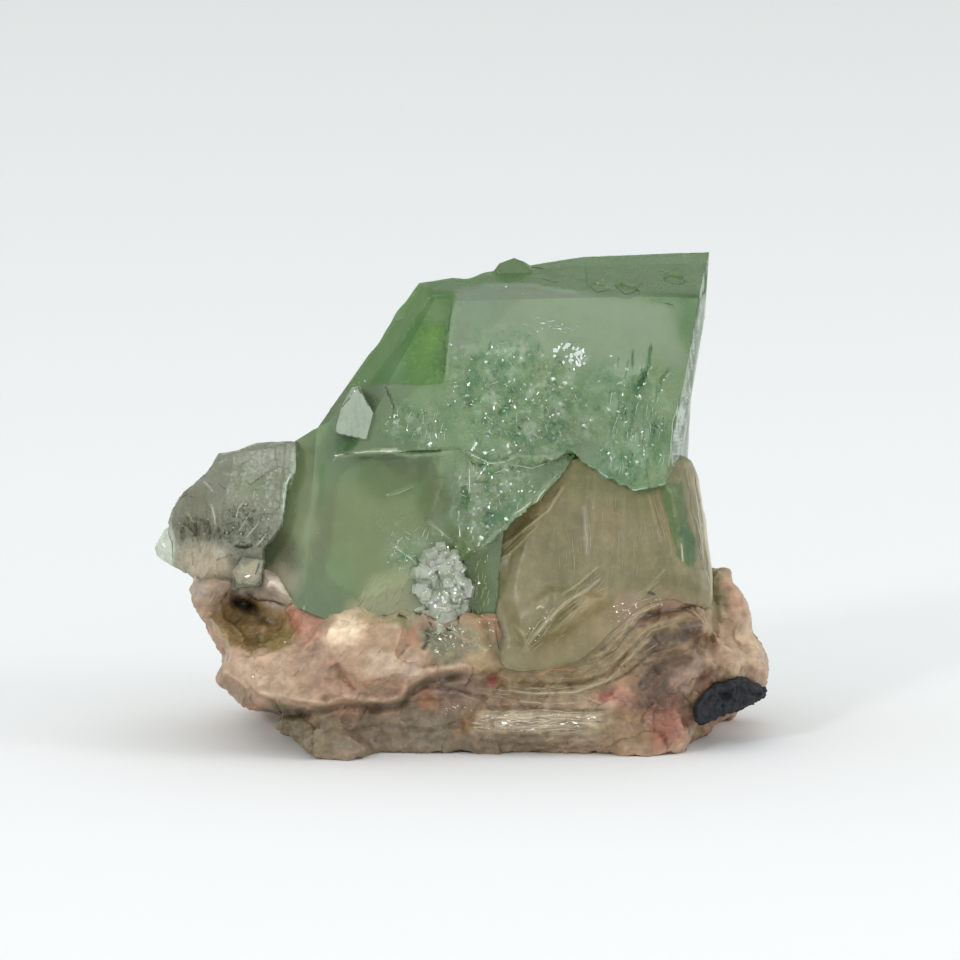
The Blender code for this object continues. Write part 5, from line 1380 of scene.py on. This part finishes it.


# Pearly skins, hair lines and bright flakes: cleavage faces and veins that catch the light, and painted highlights,
# reflections and shade on some skins and lines

pearl = {
    "skins": [
        # name, outline, colour, dark streak colour, share of streaks
        ("cornerFace", [(-11.0, 35.0), (-10.2, 35.1), (-8.9, 32.4), (-9.6, 29.7), (-12.5, 30.3), (-12.6, 31.0),
            (-12.0, 33.2)],
         (150, 162, 143), (138, 152, 132), 0.5),
        # the two strips down the right edge are pearly cleavage; their pale colour is a painted reflection, crossed
        # by dark streaks
        ("edgeUpper", [(24.5, 48.0), (24.65, 47.6), (24.0, 43.4), (23.3, 38.2), (22.9, 34.2), (22.45, 34.6),
            (22.85, 39.0), (23.62, 43.6)],
         (168, 180, 164), (66, 90, 58), 1.1),
        ("edgeLower", [(21.8, 33.9), (22.7, 34.1), (22.9, 32.9), (22.2, 29.4), (21.3, 26.8), (20.95, 27.3),
            (21.2, 31.0), (21.5, 32.9)],
         (172, 184, 170), (84, 104, 78), 0.85),
    ],
    "flakes": [
        # (right, up), half length, half width, turn
        ((9.7, 39.0), 0.3, 0.22, 80), ((10.5, 38.9), 0.25, 0.12, 60), ((12.1, 38.7), 0.3, 0.16, 100),
        ((11.9, 38.0), 0.45, 0.16, 70),
        ((11.5, 37.4), 0.4, 0.2, 50), ((11.2, 36.8), 0.2, 0.1, 80), ((8.0, 41.4), 0.4, 0.08, -5),
        ((9.8, 40.8), 0.4, 0.05, 0),
        ((14.9, 38.1), 0.28, 0.12, 0), ((5.2, 38.0), 0.16, 0.16, 0), ((3.0, 39.0), 0.12, 0.16, 0),
        ((-1.1, 39.2), 0.1, 0.26, -20),
        ((4.4, 45.0), 0.14, 0.12, 0), ((13.6, 45.4), 0.12, 0.08, 0), ((14.1, 45.7), 0.1, 0.08, 0),
        ((3.2, 32.9), 0.14, 0.24, 0),
        ((5.3, 33.0), 0.3, 0.14, 50), ((6.4, 33.8), 0.16, 0.1, 60), ((7.6, 34.4), 0.3, 0.08, -55),
        ((2.3, 31.9), 0.22, 0.12, 20),
        ((4.1, 31.6), 0.12, 0.14, 0), ((2.6, 30.1), 0.2, 0.1, 10), ((3.1, 28.7), 0.24, 0.16, 0),
        ((1.0, 28.7), 0.16, 0.1, 30),
        ((-2.6, 30.1), 0.1, 0.45, -20), ((-2.65, 31.6), 0.12, 0.12, 0), ((-5.5, 30.7), 0.08, 0.24, -15),
        ((-6.8, 32.0), 0.1, 0.16, 0),
        ((-9.7, 35.6), 0.35, 0.08, 50), ((14.7, 28.4), 0.24, 0.16, -20), ((18.2, 28.6), 0.12, 0.16, 0),
        ((18.2, 35.3), 0.14, 0.14, 0),
        ((9.8, 30.5), 0.12, 0.1, 0), ((1.9, 26.4), 0.26, 0.1, -50), ((3.0, 26.0), 0.12, 0.3, 0),
        ((4.45, 21.8), 0.46, 0.3, 30),
        ((6.0, 24.6), 0.16, 0.2, 30), ((6.9, 24.6), 0.1, 0.12, 0), ((0.6, 20.9), 0.1, 0.16, 0),
        ((0.7, 18.8), 0.26, 0.08, 40),
        ((1.7, 15.4), 0.26, 0.2, 0), ((-21.4, 16.1), 0.4, 0.18, -25), ((-29.8, 19.2), 0.5, 0.36, 0),
        ((-18.6, 26.6), 0.1, 0.1, -40),
    ],
    "rockFlakes": [
        ((-2.2, 9.8), 0.3, 0.12, 10), ((-2.5, 8.5), 0.24, 0.08, 20), ((8.3, 11.9), 0.2, 0.1, 40),
        ((7.7, 10.2), 0.24, 0.1, 10),
        ((15.5, 12.5), 0.22, 0.16, 0), ((16.1, 12.7), 0.14, 0.12, 0), ((2.5, 2.1), 0.5, 0.12, -6),
        ((10.0, 1.3), 0.5, 0.14, -10),
        ((7.1, 0.8), 0.5, 0.12, -8), ((11.3, 1.4), 0.4, 0.08, 12), ((13.2, 2.0), 0.4, 0.08, 4),
        ((-0.8, 3.0), 0.4, 0.08, 10),
        ((-20.9, 6.0), 0.3, 0.2, 40), ((-17.7, 5.8), 0.16, 0.14, 40), ((-17.7, 9.5), 0.14, 0.14, 0),
    ],
    "crystalDust": [
        # middle, half sizes, turn, how many, largest half size, stretch
        ((10.8, 38.2), (1.7, 1.2), -20, 34, 0.4, 1.5), ((4.6, 33.6), (6.0, 4.4), -20, 14, 0.14, 2.0),
        ((8.6, 41.0), (1.8, 0.7), 0, 8, 0.1, 2.2),
        ((3.4, 24.6), (3.6, 3.0), 45, 12, 0.14, 1.8), ((17.4, 31.0), (2.8, 5.6), 8, 12, 0.13, 2.0),
        ((-4.4, 31.4), (3.0, 1.8), 0, 8, 0.12, 2.2),
        ((-4.6, 18.6), (3.0, 2.0), -30, 18, 0.1, 1.3), ((-1.8, 15.2), (2.2, 3.4), 0, 44, 0.22, 1.6),
        ((4.0, 44.6), (2.4, 0.8), 0, 6, 0.07, 1.0),
        ((-3.4, 44.4), (1.8, 0.7), 0, 8, 0.07, 1.0), ((-21.4, 21.4), (2.4, 2.2), 0, 24, 0.09, 1.5),
        ((-26.4, 20.4), (2.6, 2.4), 0, 12, 0.08, 1.5),
        ((-10.6, 35.2), (1.4, 0.4), 50, 6, 0.1, 1.4), ((-16.9, 25.0), (0.3, 3.6), 8, 8, 0.1, 1.4),
        ((1.9, 17.0), (0.8, 3.4), 0, 10, 0.1, 1.3),
    ],
    "rockDust": [
        ((7.4, 1.5), (6.6, 0.9), 2, 46, 0.12, 3.0), ((8.0, 11.2), (2.4, 1.0), 50, 24, 0.11, 1.5),
        ((15.8, 12.4), (1.2, 0.9), 40, 16, 0.14, 1.3),
        ((-1.6, 9.8), (2.2, 1.6), 0, 30, 0.16, 1.8), ((-0.6, 2.6), (2.6, 0.5), 8, 10, 0.1, 2.4),
        ((-20.4, 10.8), (3.0, 1.6), -20, 12, 0.07, 1.0),
        ((-8.0, 13.6), (2.6, 1.2), 10, 24, 0.1, 1.4), ((2.2, 10.8), (1.2, 2.4), 0, 22, 0.12, 1.3),
        ((18.6, 13.2), (2.6, 0.6), 20, 12, 0.1, 1.8),
    ],
    "crystalWisps": [
        # middle, half sizes, turn, how many, longest, width, colour, way they run
        ((4.6, 34.4), (7.2, 5.0), -20, 26, 1.3, 0.08, (166, 182, 164), None),
        ((5.4, 35.6), (5.4, 4.4), -20, 20, 1.0, 0.16, (90, 120, 96), None),
        ((17.4, 31.6), (3.2, 6.4), 8, 26, 2.2, 0.1, (86, 118, 88), 82),
        ((17.4, 31.0), (3.2, 6.0), 8, 22, 1.8, 0.06, (168, 190, 170), 82),
        ((3.4, 24.8), (4.0, 3.2), 45, 16, 1.0, 0.08, (176, 188, 164), None),
        ((3.0, 24.8), (4.0, 3.2), 45, 10, 0.9, 0.12, (98, 116, 82), None),
        ((-4.0, 31.4), (3.4, 2.2), 0, 16, 1.2, 0.06, (168, 186, 164), 80),
        ((-4.6, 18.4), (3.4, 2.4), -30, 22, 1.2, 0.06, (172, 184, 160), None),
        ((9.0, 40.8), (3.0, 1.2), -5, 14, 1.4, 0.07, (176, 184, 172), 0),
        ((-21.6, 21.2), (2.6, 2.2), 0, 26, 1.0, 0.05, (168, 168, 152), None),
        ((-21.6, 20.8), (2.4, 2.0), 0, 22, 0.8, 0.09, (78, 80, 66), None),
        ((-26.6, 20.8), (2.2, 1.2), -8, 20, 1.3, 0.09, (90, 88, 68), 82),
        ((-26.0, 18.0), (2.8, 1.4), -14, 20, 1.6, 0.06, (196, 180, 158), 84),
        ((1.9, 16.0), (0.9, 3.4), 0, 16, 1.4, 0.07, (150, 156, 112), 80),
        ((-7.8, 14.4), (3.2, 1.5), 25, 26, 2.0, 0.08, (160, 160, 124), 55),
        ((-7.6, 14.0), (3.0, 1.6), 25, 16, 1.4, 0.1, (138, 144, 108), 50),
        ((1.8, 12.6), (1.0, 3.0), 0, 18, 1.2, 0.1, (150, 152, 112), 84),
    ],
    "rockWisps": [
        ((7.6, 1.5), (6.8, 1.0), 2, 44, 2.2, 0.06, (208, 196, 170), 2),
        ((7.6, 1.4), (6.8, 1.1), 2, 20, 1.8, 0.07, (120, 102, 74), 2),
        ((11.0, 12.6), (5.4, 1.6), 42, 30, 1.8, 0.06, (182, 170, 140), 44),
        ((17.8, 13.4), (3.6, 1.2), 25, 20, 1.6, 0.06, (172, 154, 124), 30),
        ((13.6, 6.4), (6.4, 1.6), 28, 26, 2.4, 0.06, (172, 156, 126), 32),
        ((8.0, 4.4), (5.0, 1.0), 0, 20, 2.4, 0.06, (176, 160, 130), 0),
        ((-8.6, 12.6), (3.0, 1.2), 15, 26, 1.2, 0.06, (206, 190, 156), None),
        ((-10.4, 9.6), (2.6, 2.2), 0, 14, 1.6, 0.05, (224, 202, 174), 50),
        ((-18.0, 6.6), (4.4, 1.6), 0, 16, 1.6, 0.05, (208, 182, 158), 40),
        ((-1.0, 9.8), (3.0, 1.8), 0, 40, 0.8, 0.16, (152, 154, 128), None),
        ((-1.4, 9.6), (2.6, 1.6), 0, 30, 0.7, 0.16, (126, 128, 102), None),
        ((14.0, 20.0), (5.0, 5.0), 0, 26, 2.4, 0.05, (160, 152, 126), 88),
        ((24.0, 20.0), (0.7, 6.0), 5, 20, 2.2, 0.06, (186, 180, 156), 98),
        ((20.6, 6.6), (3.4, 2.6), 30, 16, 1.6, 0.05, (142, 118, 100), 40),
        ((0.0, 4.4), (3.6, 1.6), 8, 16, 1.8, 0.05, (154, 134, 120), 6),
    ],
    "crystalLines": [
        # path, width, colour
        ([(12.35, 47.4), (12.4, 45.4), (13.5, 44.45), (14.75, 44.8)], 0.16, (70, 98, 62)),
        ([(15.25, 45.2), (16.3, 44.3), (17.4, 44.5), (17.95, 45.5)], 0.14, (72, 100, 64)),
        ([(19.6, 46.7), (20.6, 46.4), (21.6, 46.9)], 0.1, (84, 116, 76)),
        ([(7.9, 45.9), (9.1, 45.5), (9.7, 45.6)], 0.1, (84, 110, 72)),
        ([(20.2, 43.4), (21.2, 43.2)], 0.1, (74, 104, 66)), ([(7.0, 47.0), (8.2, 46.8)], 0.16, (60, 74, 48)),
        ([(5.5, 31.15), (5.95, 30.75)], 0.14, (24, 28, 20)),
        ([(2.2, 22.0), (2.55, 22.5), (3.0, 22.4)], 0.2, (40, 48, 32)),
        ([(0.72, 26.8), (0.75, 24.3)], 0.12, (214, 220, 196)),
        ([(-0.9, 44.0), (-1.3, 41.7), (-1.8, 36.0)], 0.1, (74, 108, 58)),
        ([(-7.7, 35.2), (-7.1, 34.0), (-6.6, 32.5)], 0.1, (84, 108, 72)),
        # painted highlight and glint along the lower crystal's ridge
        ([(-12.9, 27.7), (-12.4, 28.2), (-9.8, 28.5), (-7.2, 28.65), (-3.0, 28.3)], 0.16, (168, 182, 150)),
        ([(-8.2, 28.6), (-6.6, 28.65)], 0.16, (226, 232, 214)),
        ([(18.95, 39.4), (18.7, 37.0), (18.3, 36.2)], 0.14, (78, 112, 80)),
        ([(17.1, 38.8), (17.0, 36.8)], 0.1, (88, 116, 84)),
        ([(0.5, 28.6), (2.6, 27.35), (4.1, 27.4), (5.4, 28.0)], 0.14, (176, 190, 166)),
        ([(5.2, 27.2), (7.0, 26.9), (8.6, 27.4)], 0.08, (170, 178, 150)),
        # painted highlights on the ragged lobe's edge
        ([(7.0, 22.9), (7.7, 24.0), (8.4, 24.9)], 0.14, (214, 220, 200)),
        ([(5.0, 22.1), (6.2, 23.0), (7.2, 23.6)], 0.12, (190, 200, 176)),
        ([(-6.7, 19.1), (-5.4, 18.0), (-4.1, 17.0)], 0.1, (186, 196, 172)),
        ([(-3.6, 21.6), (-2.2, 20.6), (-1.2, 19.8)], 0.08, (166, 178, 150)),
        ([(-4.9, 25.0), (-6.2, 24.5), (-7.4, 24.0)], 0.12, (136, 152, 112)),
        ([(21.6, 33.6), (21.0, 31.0), (20.8, 27.6)], 0.1, (170, 186, 160)),
        ([(12.7, 27.2), (14.7, 25.8), (17.2, 24.6), (21.2, 25.5)], 0.16, (150, 176, 148)),
        ([(22.75, 31.8), (22.9, 29.5), (22.95, 27.4)], 0.3, (70, 104, 46)),
        # painted highlight along the pale crystal's edge against the green one
        ([(-16.8, 29.2), (-16.9, 26.6), (-17.7, 25.2), (-18.0, 21.0)], 0.1, (184, 198, 182)),
        ([(-25.1, 23.4), (-24.85, 22.2), (-24.6, 21.0)], 0.1, (184, 180, 160)),
        ([(-25.9, 25.6), (-25.2, 25.0), (-24.9, 24.4)], 0.08, (178, 178, 162)),
        ([(-22.8, 19.1), (-21.7, 19.0), (-20.9, 19.2)], 0.14, (44, 44, 34)),
        ([(-20.6, 16.2), (-20.3, 17.4)], 0.12, (60, 56, 44)),
        ([(-27.7, 22.6), (-27.0, 21.6), (-26.7, 20.8)], 0.08, (170, 164, 142)),
        ([(-29.4, 20.8), (-29.0, 19.4), (-28.9, 17.8)], 0.1, (110, 116, 100)),
        ([(-21.0, 22.6), (-21.8, 21.4), (-22.4, 20.4)], 0.07, (186, 186, 170)),
        ([(-20.2, 21.6), (-21.0, 20.6), (-21.6, 19.8)], 0.07, (180, 180, 164)),
        ([(-19.5, 20.4), (-20.2, 19.5), (-20.6, 19.0)], 0.08, (204, 204, 186)),
        ([(-21.8, 23.6), (-22.4, 22.8), (-22.6, 21.8)], 0.08, (192, 190, 172)),
    ],
    "rockLines": [
        ([(3.0, 17.6), (5.0, 19.6), (6.9, 21.3)], 0.1, (164, 154, 118)),
        ([(3.4, 17.0), (4.4, 18.6), (6.0, 19.9), (7.4, 21.0)], 0.07, (158, 148, 112)),
        ([(2.95, 17.4), (3.2, 15.0), (3.9, 12.3)], 0.1, (164, 158, 122)),
        ([(14.2, 16.1), (12.4, 14.8), (10.4, 13.6), (8.5, 11.8)], 0.08, (184, 172, 144)),
        ([(13.6, 15.4), (11.6, 14.2), (9.6, 12.6), (7.6, 10.4), (6.1, 8.9)], 0.1, (190, 178, 150)),
        ([(8.6, 12.4), (7.6, 11.4), (6.4, 9.4), (6.0, 8.4)], 0.07, (180, 170, 140)),
        ([(13.8, 8.9), (16.1, 10.8), (17.7, 12.4), (20.4, 13.6)], 0.1, (178, 166, 134)),
        ([(14.8, 9.2), (16.9, 11.0), (18.6, 12.8), (21.0, 14.0)], 0.07, (170, 156, 124)),
        ([(16.4, 13.0), (18.4, 14.4), (20.4, 16.4)], 0.07, (172, 160, 130)),
        ([(15.6, 12.0), (17.4, 13.4), (19.6, 14.2)], 0.07, (176, 160, 132)),
        ([(19.3, 24.9), (20.4, 21.6), (21.2, 18.4)], 0.1, (156, 134, 98)),
        ([(18.9, 24.6), (19.9, 21.4), (20.7, 18.4)], 0.07, (160, 142, 108)),
        ([(21.9, 19.4), (22.1, 17.4)], 0.12, (190, 188, 164)),
        # painted highlight down the sheaf's right edge
        ([(23.5, 26.6), (24.3, 22.0), (24.9, 16.8), (25.0, 13.6)], 0.14, (206, 202, 182)),
        ([(22.4, 26.8), (23.2, 22.0), (23.9, 17.8)], 0.1, (118, 114, 88)),
        ([(23.0, 26.8), (23.8, 21.6), (24.4, 16.2)], 0.09, (184, 178, 154)),
        ([(23.3, 26.0), (24.0, 21.0), (24.5, 15.4)], 0.07, (126, 120, 94)),
        ([(12.2, 22.6), (12.5, 20.0), (12.4, 17.6)], 0.1, (164, 158, 136)),
        ([(12.7, 21.8), (12.9, 18.4)], 0.06, (168, 162, 140)),
        ([(11.0, 20.6), (11.2, 17.4)], 0.06, (158, 152, 126)),
        ([(3.7, 4.7), (7.6, 4.35), (11.4, 4.5), (14.5, 5.6), (16.8, 8.0)], 0.12, (184, 172, 142)),
        ([(3.6, 4.2), (5.0, 3.6), (9.1, 3.3), (12.8, 3.5)], 0.1, (176, 158, 132)),
        ([(5.6, 4.9), (9.4, 4.8), (13.0, 5.2), (15.6, 6.8)], 0.06, (178, 164, 132)),
        ([(7.1, 6.0), (9.1, 6.8), (11.4, 6.7)], 0.12, (196, 142, 104)),
        ([(8.6, 5.8), (11.2, 5.9), (13.6, 6.8), (15.8, 9.0)], 0.07, (168, 152, 118)),
        ([(4.6, 6.6), (8.2, 6.2), (11.6, 7.2), (13.8, 8.6)], 0.07, (166, 152, 116)),
        ([(13.2, 7.4), (15.2, 8.6), (17.2, 11.0), (18.8, 12.6)], 0.07, (102, 84, 60)),
        ([(14.4, 6.4), (16.8, 8.2), (19.0, 10.6), (21.8, 11.6)], 0.08, (168, 150, 122)),
        ([(17.2, 11.6), (19.2, 12.3), (21.4, 12.6), (23.6, 13.3)], 0.16, (84, 64, 48)),
        # painted shade in the same small hole
        ([(18.4, 14.5), (18.9, 14.4), (19.3, 14.2)], 0.3, (74, 66, 44)),
        # these four pale lines on the silky band are painted highlights
        ([(1.4, 2.6), (4.6, 2.5), (8.0, 2.7), (12.0, 2.4), (14.6, 2.6)], 0.1, (196, 184, 158)),
        ([(2.0, 1.6), (5.0, 1.5), (9.0, 1.9), (13.0, 1.6)], 0.08, (206, 194, 168)),
        ([(2.6, 0.6), (6.0, 0.6), (10.0, 0.8), (13.8, 0.6)], 0.08, (190, 176, 148)),
        ([(1.8, 2.0), (4.2, 1.9), (7.0, 1.5), (10.0, 1.8)], 0.08, (214, 204, 180)),
        ([(-21.8, 14.5), (-20.5, 13.7), (-19.0, 13.6), (-17.6, 13.1)], 0.12, (92, 72, 52)),
        ([(-25.6, 11.9), (-25.2, 11.5)], 0.2, (60, 46, 34)),
        ([(-7.7, 14.0), (-7.5, 13.2), (-7.8, 12.4)], 0.14, (92, 88, 58)),
        ([(-3.5, 10.6), (-3.3, 9.6), (-3.8, 8.8)], 0.12, (88, 88, 62)),
        ([(23.9, 16.8), (24.8, 16.9)], 0.1, (110, 106, 74)), ([(14.1, 4.2), (15.0, 4.3)], 0.2, (142, 84, 66)),
    ],
    "look": {"skinRoughness": 0.35, "flakeRoughness": 0.14, "lineRoughness": 0.4},
}

def surfaceOf(pieces):
    bm = bmesh.new()
    for piece in pieces:
        bm.from_mesh(piece.data)
    tree = BVHTree.FromBMesh(bm)
    bm.free()
    return tree


def hitAt(tree, spot):
    # where a point seen at (right, up) lies on the surface, in millimetres, and the way the eye looks there
    ray = (seen(spot[0], spot[1], 0.0) - Vector(eye)).normalized()
    place = tree.ray_cast(Vector(eye) * mm, ray)[0]
    return (place / mm if place is not None else None), ray


def makeSkins(tree):
    # thin closed skins that follow the crystal's front
    whole = bmesh.new()
    tints = []
    for name, outline, colour, streakColour, share in pearl["skins"]:
        bm = bmesh.new()
        bm.faces.new([bm.verts.new((x, y, 0.0)) for x, y in outline])
        bmesh.ops.triangulate(bm, faces=bm.faces)
        for _ in range(5):
            long = [edge for edge in bm.edges if edge.calc_length() > 0.3]
            if long:
                bmesh.ops.subdivide_edges(bm, edges=long, cuts=1)
                bmesh.ops.triangulate(bm, faces=bm.faces)
        place = seen(*outline[0], -8.0)
        for vert in bm.verts:
            hit, ray = hitAt(tree, vert.co)
            place = place if hit is None else hit
            vert.co = place - ray * 0.05
        normal = sum((face.normal * face.calc_area() for face in bm.faces), Vector())
        if normal.dot(Vector(forward)) > 0.0:
            bmesh.ops.reverse_faces(bm, faces=bm.faces)
        grown = bmesh.ops.extrude_face_region(bm, geom=bm.faces[:])
        for item in grown["geom"]:
            if isinstance(item, bmesh.types.BMVert):
                item.co = item.co + Vector(forward) * 0.25
        bmesh.ops.recalc_face_normals(bm, faces=bm.faces)
        spots = spotsOf(np.array([vert.co for vert in bm.verts]))
        lines = noiseAt(np.stack([spots[:, 0], spots[:, 1] * 0.12, spots[:, 1] * 0.0], axis=1), 0.22, 61, 3)
        cover = (softStep(0.2 - share * 0.5, 0.5 - share * 0.5, lines) * 0.9)[:, None]
        tints.append(linear(*colour) * (1.0 - cover) + linear(*streakColour) * cover)
        mesh = bpy.data.meshes.new(name)
        bm.to_mesh(mesh)
        bm.free()
        whole.from_mesh(mesh)
    piece = newPiece("pearlySkins", whole)
    paint(piece, "tint", np.concatenate(tints))
    return finished(piece, pearlMaterial("pearlySkin", pearl["look"]["skinRoughness"]), None,
        sharp=30.0)


def strewn(chance, middle, half, turn, count):
    # spots strewn over a turned oval
    ways = chance.uniform(0.0, 2.0 * math.pi, count)
    reach = np.sqrt(chance.uniform(0.0, 1.0, count))
    across, along = half[0] * reach * np.cos(ways), half[1] * reach * np.sin(ways)
    lean = math.radians(turn)
    return list(zip(
        middle[0] + across * math.cos(lean) - along * math.sin(lean),
        middle[1] + across * math.sin(lean) + along * math.cos(lean),
    ))


def wisps(groups):
    # short fine lines strewn over ovals, each group along one way or every way
    chance = np.random.default_rng(9)
    lines = []
    for middle, half, turn, count, longest, width, colour, way in groups:
        for x, y in strewn(chance, middle, half, turn, count):
            angle = math.radians(chance.uniform(0.0, 180.0) if way is None else way + chance.normal(0.0, 9.0))
            size = longest * chance.uniform(0.35, 1.0) / 2.0
            stepX, stepY = math.cos(angle) * size, math.sin(angle) * size
            lines.append(([(x - stepX, y - stepY), (x, y), (x + stepX, y + stepY)], width, colour))
    return lines


def makeFlakes(name, tree, flakes, dust, colour):
    # small thin shards set into the surface so that they throw the front light back
    light = Vector([value / mm for value in studio["softboxes"]["frontSoftbox"][0]])
    chance = np.random.default_rng(len(flakes) + len(dust))
    chosen = [(spot, long * 0.8, wide * 0.8, turn, 0.05) for spot, long, wide, turn in flakes]
    for middle, half, turn, count, size, stretch in dust:
        for spot in strewn(chance, middle, half, turn, count):
            grade = size * (0.3 + 0.7 * chance.uniform(0.0, 1.0) ** 3)
            lean = chance.uniform(-90.0, 90.0) if stretch < 2.1 else 5.0
            chosen.append((spot, grade * stretch, grade, lean, 0.16))
    bm = bmesh.new()
    for spot, long, wide, turn, spread in chosen:
        place, ray = hitAt(tree, spot)
        if place is None:
            continue
        toLight = (light - place).normalized()
        normal = (toLight - ray).normalized() + Vector(chance.normal(0.0, spread, 3))
        normal.normalize()
        across = normal.cross(Vector((0.0, 0.0, 1.0))).normalized()
        above = across.cross(normal)
        angle = math.radians(turn)
        first = -across * math.cos(angle) - above * math.sin(angle)
        second = normal.cross(first)
        count = int(chance.integers(4, 7))
        ring = []
        for corner in range(count):
            swing = 2.0 * math.pi * (corner + chance.uniform(-0.3, 0.3)) / count
            size = chance.uniform(0.55, 1.1)
            reach = first * math.cos(swing) * long * size + second * math.sin(swing) * wide * size
            ring.append(place - ray * 0.08 + reach)
        top = [bm.verts.new(point) for point in ring]
        bottom = [bm.verts.new(point - normal * 0.1) for point in ring]
        bm.faces.new(top)
        bm.faces.new(bottom[::-1])
        for corner in range(count):
            after = (corner + 1) % count
            bm.faces.new((top[corner], bottom[corner], bottom[after], top[after]))
    bmesh.ops.recalc_face_normals(bm, faces=bm.faces)
    piece = newPiece(name, bm)
    paint(piece, "tint", np.tile(linear(*colour), (len(piece.data.vertices), 1)))
    return finished(piece, flakeMaterial, None, sharp=20.0)


def ribbonRings(tree, path, width, number):
    # the corners of a thin ribbon on the surface, four for each step along the path
    steps = []
    for first, last in zip(path, path[1:]):
        count = max(2, int(math.dist(first, last) / 0.22))
        steps += [
            (first[0] + (last[0] - first[0]) * i / count, first[1] + (last[1] - first[1]) * i / count)
            for i in range(count)
        ]
    steps.append(path[-1])
    rings = []
    for index, (x, y) in enumerate(steps):
        after, before = steps[min(index + 1, len(steps) - 1)], steps[max(index - 1, 0)]
        way = Vector((after[0] - before[0], after[1] - before[1])).normalized()
        aside = Vector((-way.y, way.x))
        shift = noise.noise(Vector((x * 0.9, y * 0.9, number * 3.1))) * 0.12
        share = min(1.0, 0.25 + 3.0 * min(index, len(steps) - 1 - index) / len(steps))
        half = width * share * (0.42 + 0.3 * noise.noise(Vector((x * 1.7, y * 1.7, number * 5.3))))
        middle = Vector((x, y)) + aside * shift
        sides = [hitAt(tree, middle + aside * side * half) for side in (1.0, -1.0)]
        (left, _), (right, _) = sides
        if left is not None and right is not None and abs(left.y - right.y) <= 0.5:
            rings.append([place - ray * 0.05 for place, ray in sides] + [place + ray * 0.12 for place,
                ray in sides[::-1]])
    return rings


def makeLines(name, tree, lines):
    # hair lines: thin ribbons that follow the surface, each a path, a width and a colour
    bm = bmesh.new()
    tints = []
    for number, (path, width, colour) in enumerate(lines):
        bands, current = [], []
        for ring in ribbonRings(tree, path, width, number):
            if current and (ring[0] - current[-1][0]).length > 0.9:
                bands.append(current)
                current = []
            current.append(ring)
        bands.append(current)
        for band in bands:
            if len(band) < 3:
                continue
            corners = [[bm.verts.new(point) for point in ring] for ring in band]
            for ring, following in zip(corners, corners[1:]):
                for side in range(4):
                    other = (side + 1) % 4
                    bm.faces.new((ring[side], ring[other], following[other], following[side]))
            bm.faces.new(corners[0][::-1])
            bm.faces.new(corners[-1])
            tints += [linear(*colour)] * (4 * len(band))
    bmesh.ops.recalc_face_normals(bm, faces=bm.faces)
    piece = newPiece(name, bm)
    paint(piece, "tint", np.array(tints))
    return finished(piece, lineMaterial, None, sharp=40.0)


flakeMaterial = pearlMaterial("brightFlake", pearl["look"]["flakeRoughness"])
lineMaterial = pearlMaterial("fineVein", pearl["look"]["lineRoughness"])
crystalFront = surfaceOf([green, pale])
crustedFront = surfaceOf([green, pale, crust])
rockFront = surfaceOf([matrix, sheaf])
makeSkins(surfaceOf([green]))
makeLines("crystalLines", crystalFront, pearl["crystalLines"] + wisps(pearl["crystalWisps"]))
makeLines("rockLines", rockFront, pearl["rockLines"] + wisps(pearl["rockWisps"]))
makeFlakes("crystalFlakes", crustedFront, pearl["flakes"], pearl["crystalDust"], (212, 222, 212))
makeFlakes("rockFlakes", rockFront, pearl["rockFlakes"], pearl["rockDust"], (222, 212, 192))
print("skins, lines and flakes made")


# The basalt chip

basaltRock = {
    "voxel": 0.14,
    "base": (27, 31, 36),
    "gain": 1.0,
    "pit": ((26.5, 4.0), (0.5, 0.35)),
    "look": {
        "glow": 0.0, "glowRadius": (1.0, 1.0, 1.0), "glowDepth": 0.1, "grainSize": 900.0, "contrast": 0.5,
        "mottleSize": 1200.0, "mottle": 0.6, "deep": (0.5, 0.5, 0.55), "milky": (0.09, 0.1, 0.11),
        "fibreSize": 900.0, "fibreBend": 0.5, "fibreContrast": 0.15, "fibreBump": 0.2, "stretch": (1.0, 1.0, 1.0),
        "matt": 0.85, "shiny": 0.45, "glitterSize": 5000.0, "glitter": 0.3,
        "bump": 0.9, "bumpDepth": 0.3,
    },
}

def makeBasalt():
    look = basaltRock
    piece = softCopy("basalt_chip", "basaltChip", look["voxel"], 3)
    points, normals = shapeOf(piece)
    pits = softStep(0.25, 0.6, noiseAt(points, 0.8, 51, 2))
    pit = blob(spotsOf(points), *look["pit"])
    amount = 0.12 * noiseAt(points, 0.7, 52, 4) - 0.2 * pits + facets(points, 0.9, 0.2, 8)
    moveTo(piece, points + normals * (amount - 0.5 * pit)[:, None])
    # the pits are dented in and painted darker: painted shade in the pits
    paint(piece, "tint", baseColours(look, 1.0 - 0.6 * pit + 0.5 * noiseAt(points, 0.5, 53, 3) - 0.4 * pits))
    paint(piece, "gloss", 0.3 + 0.3 * noiseAt(points, 0.5, 54, 2))
    return finished(piece, rockMaterial("darkBasalt", look["look"]), "basalt_chip")


makeBasalt()
print("basalt made")
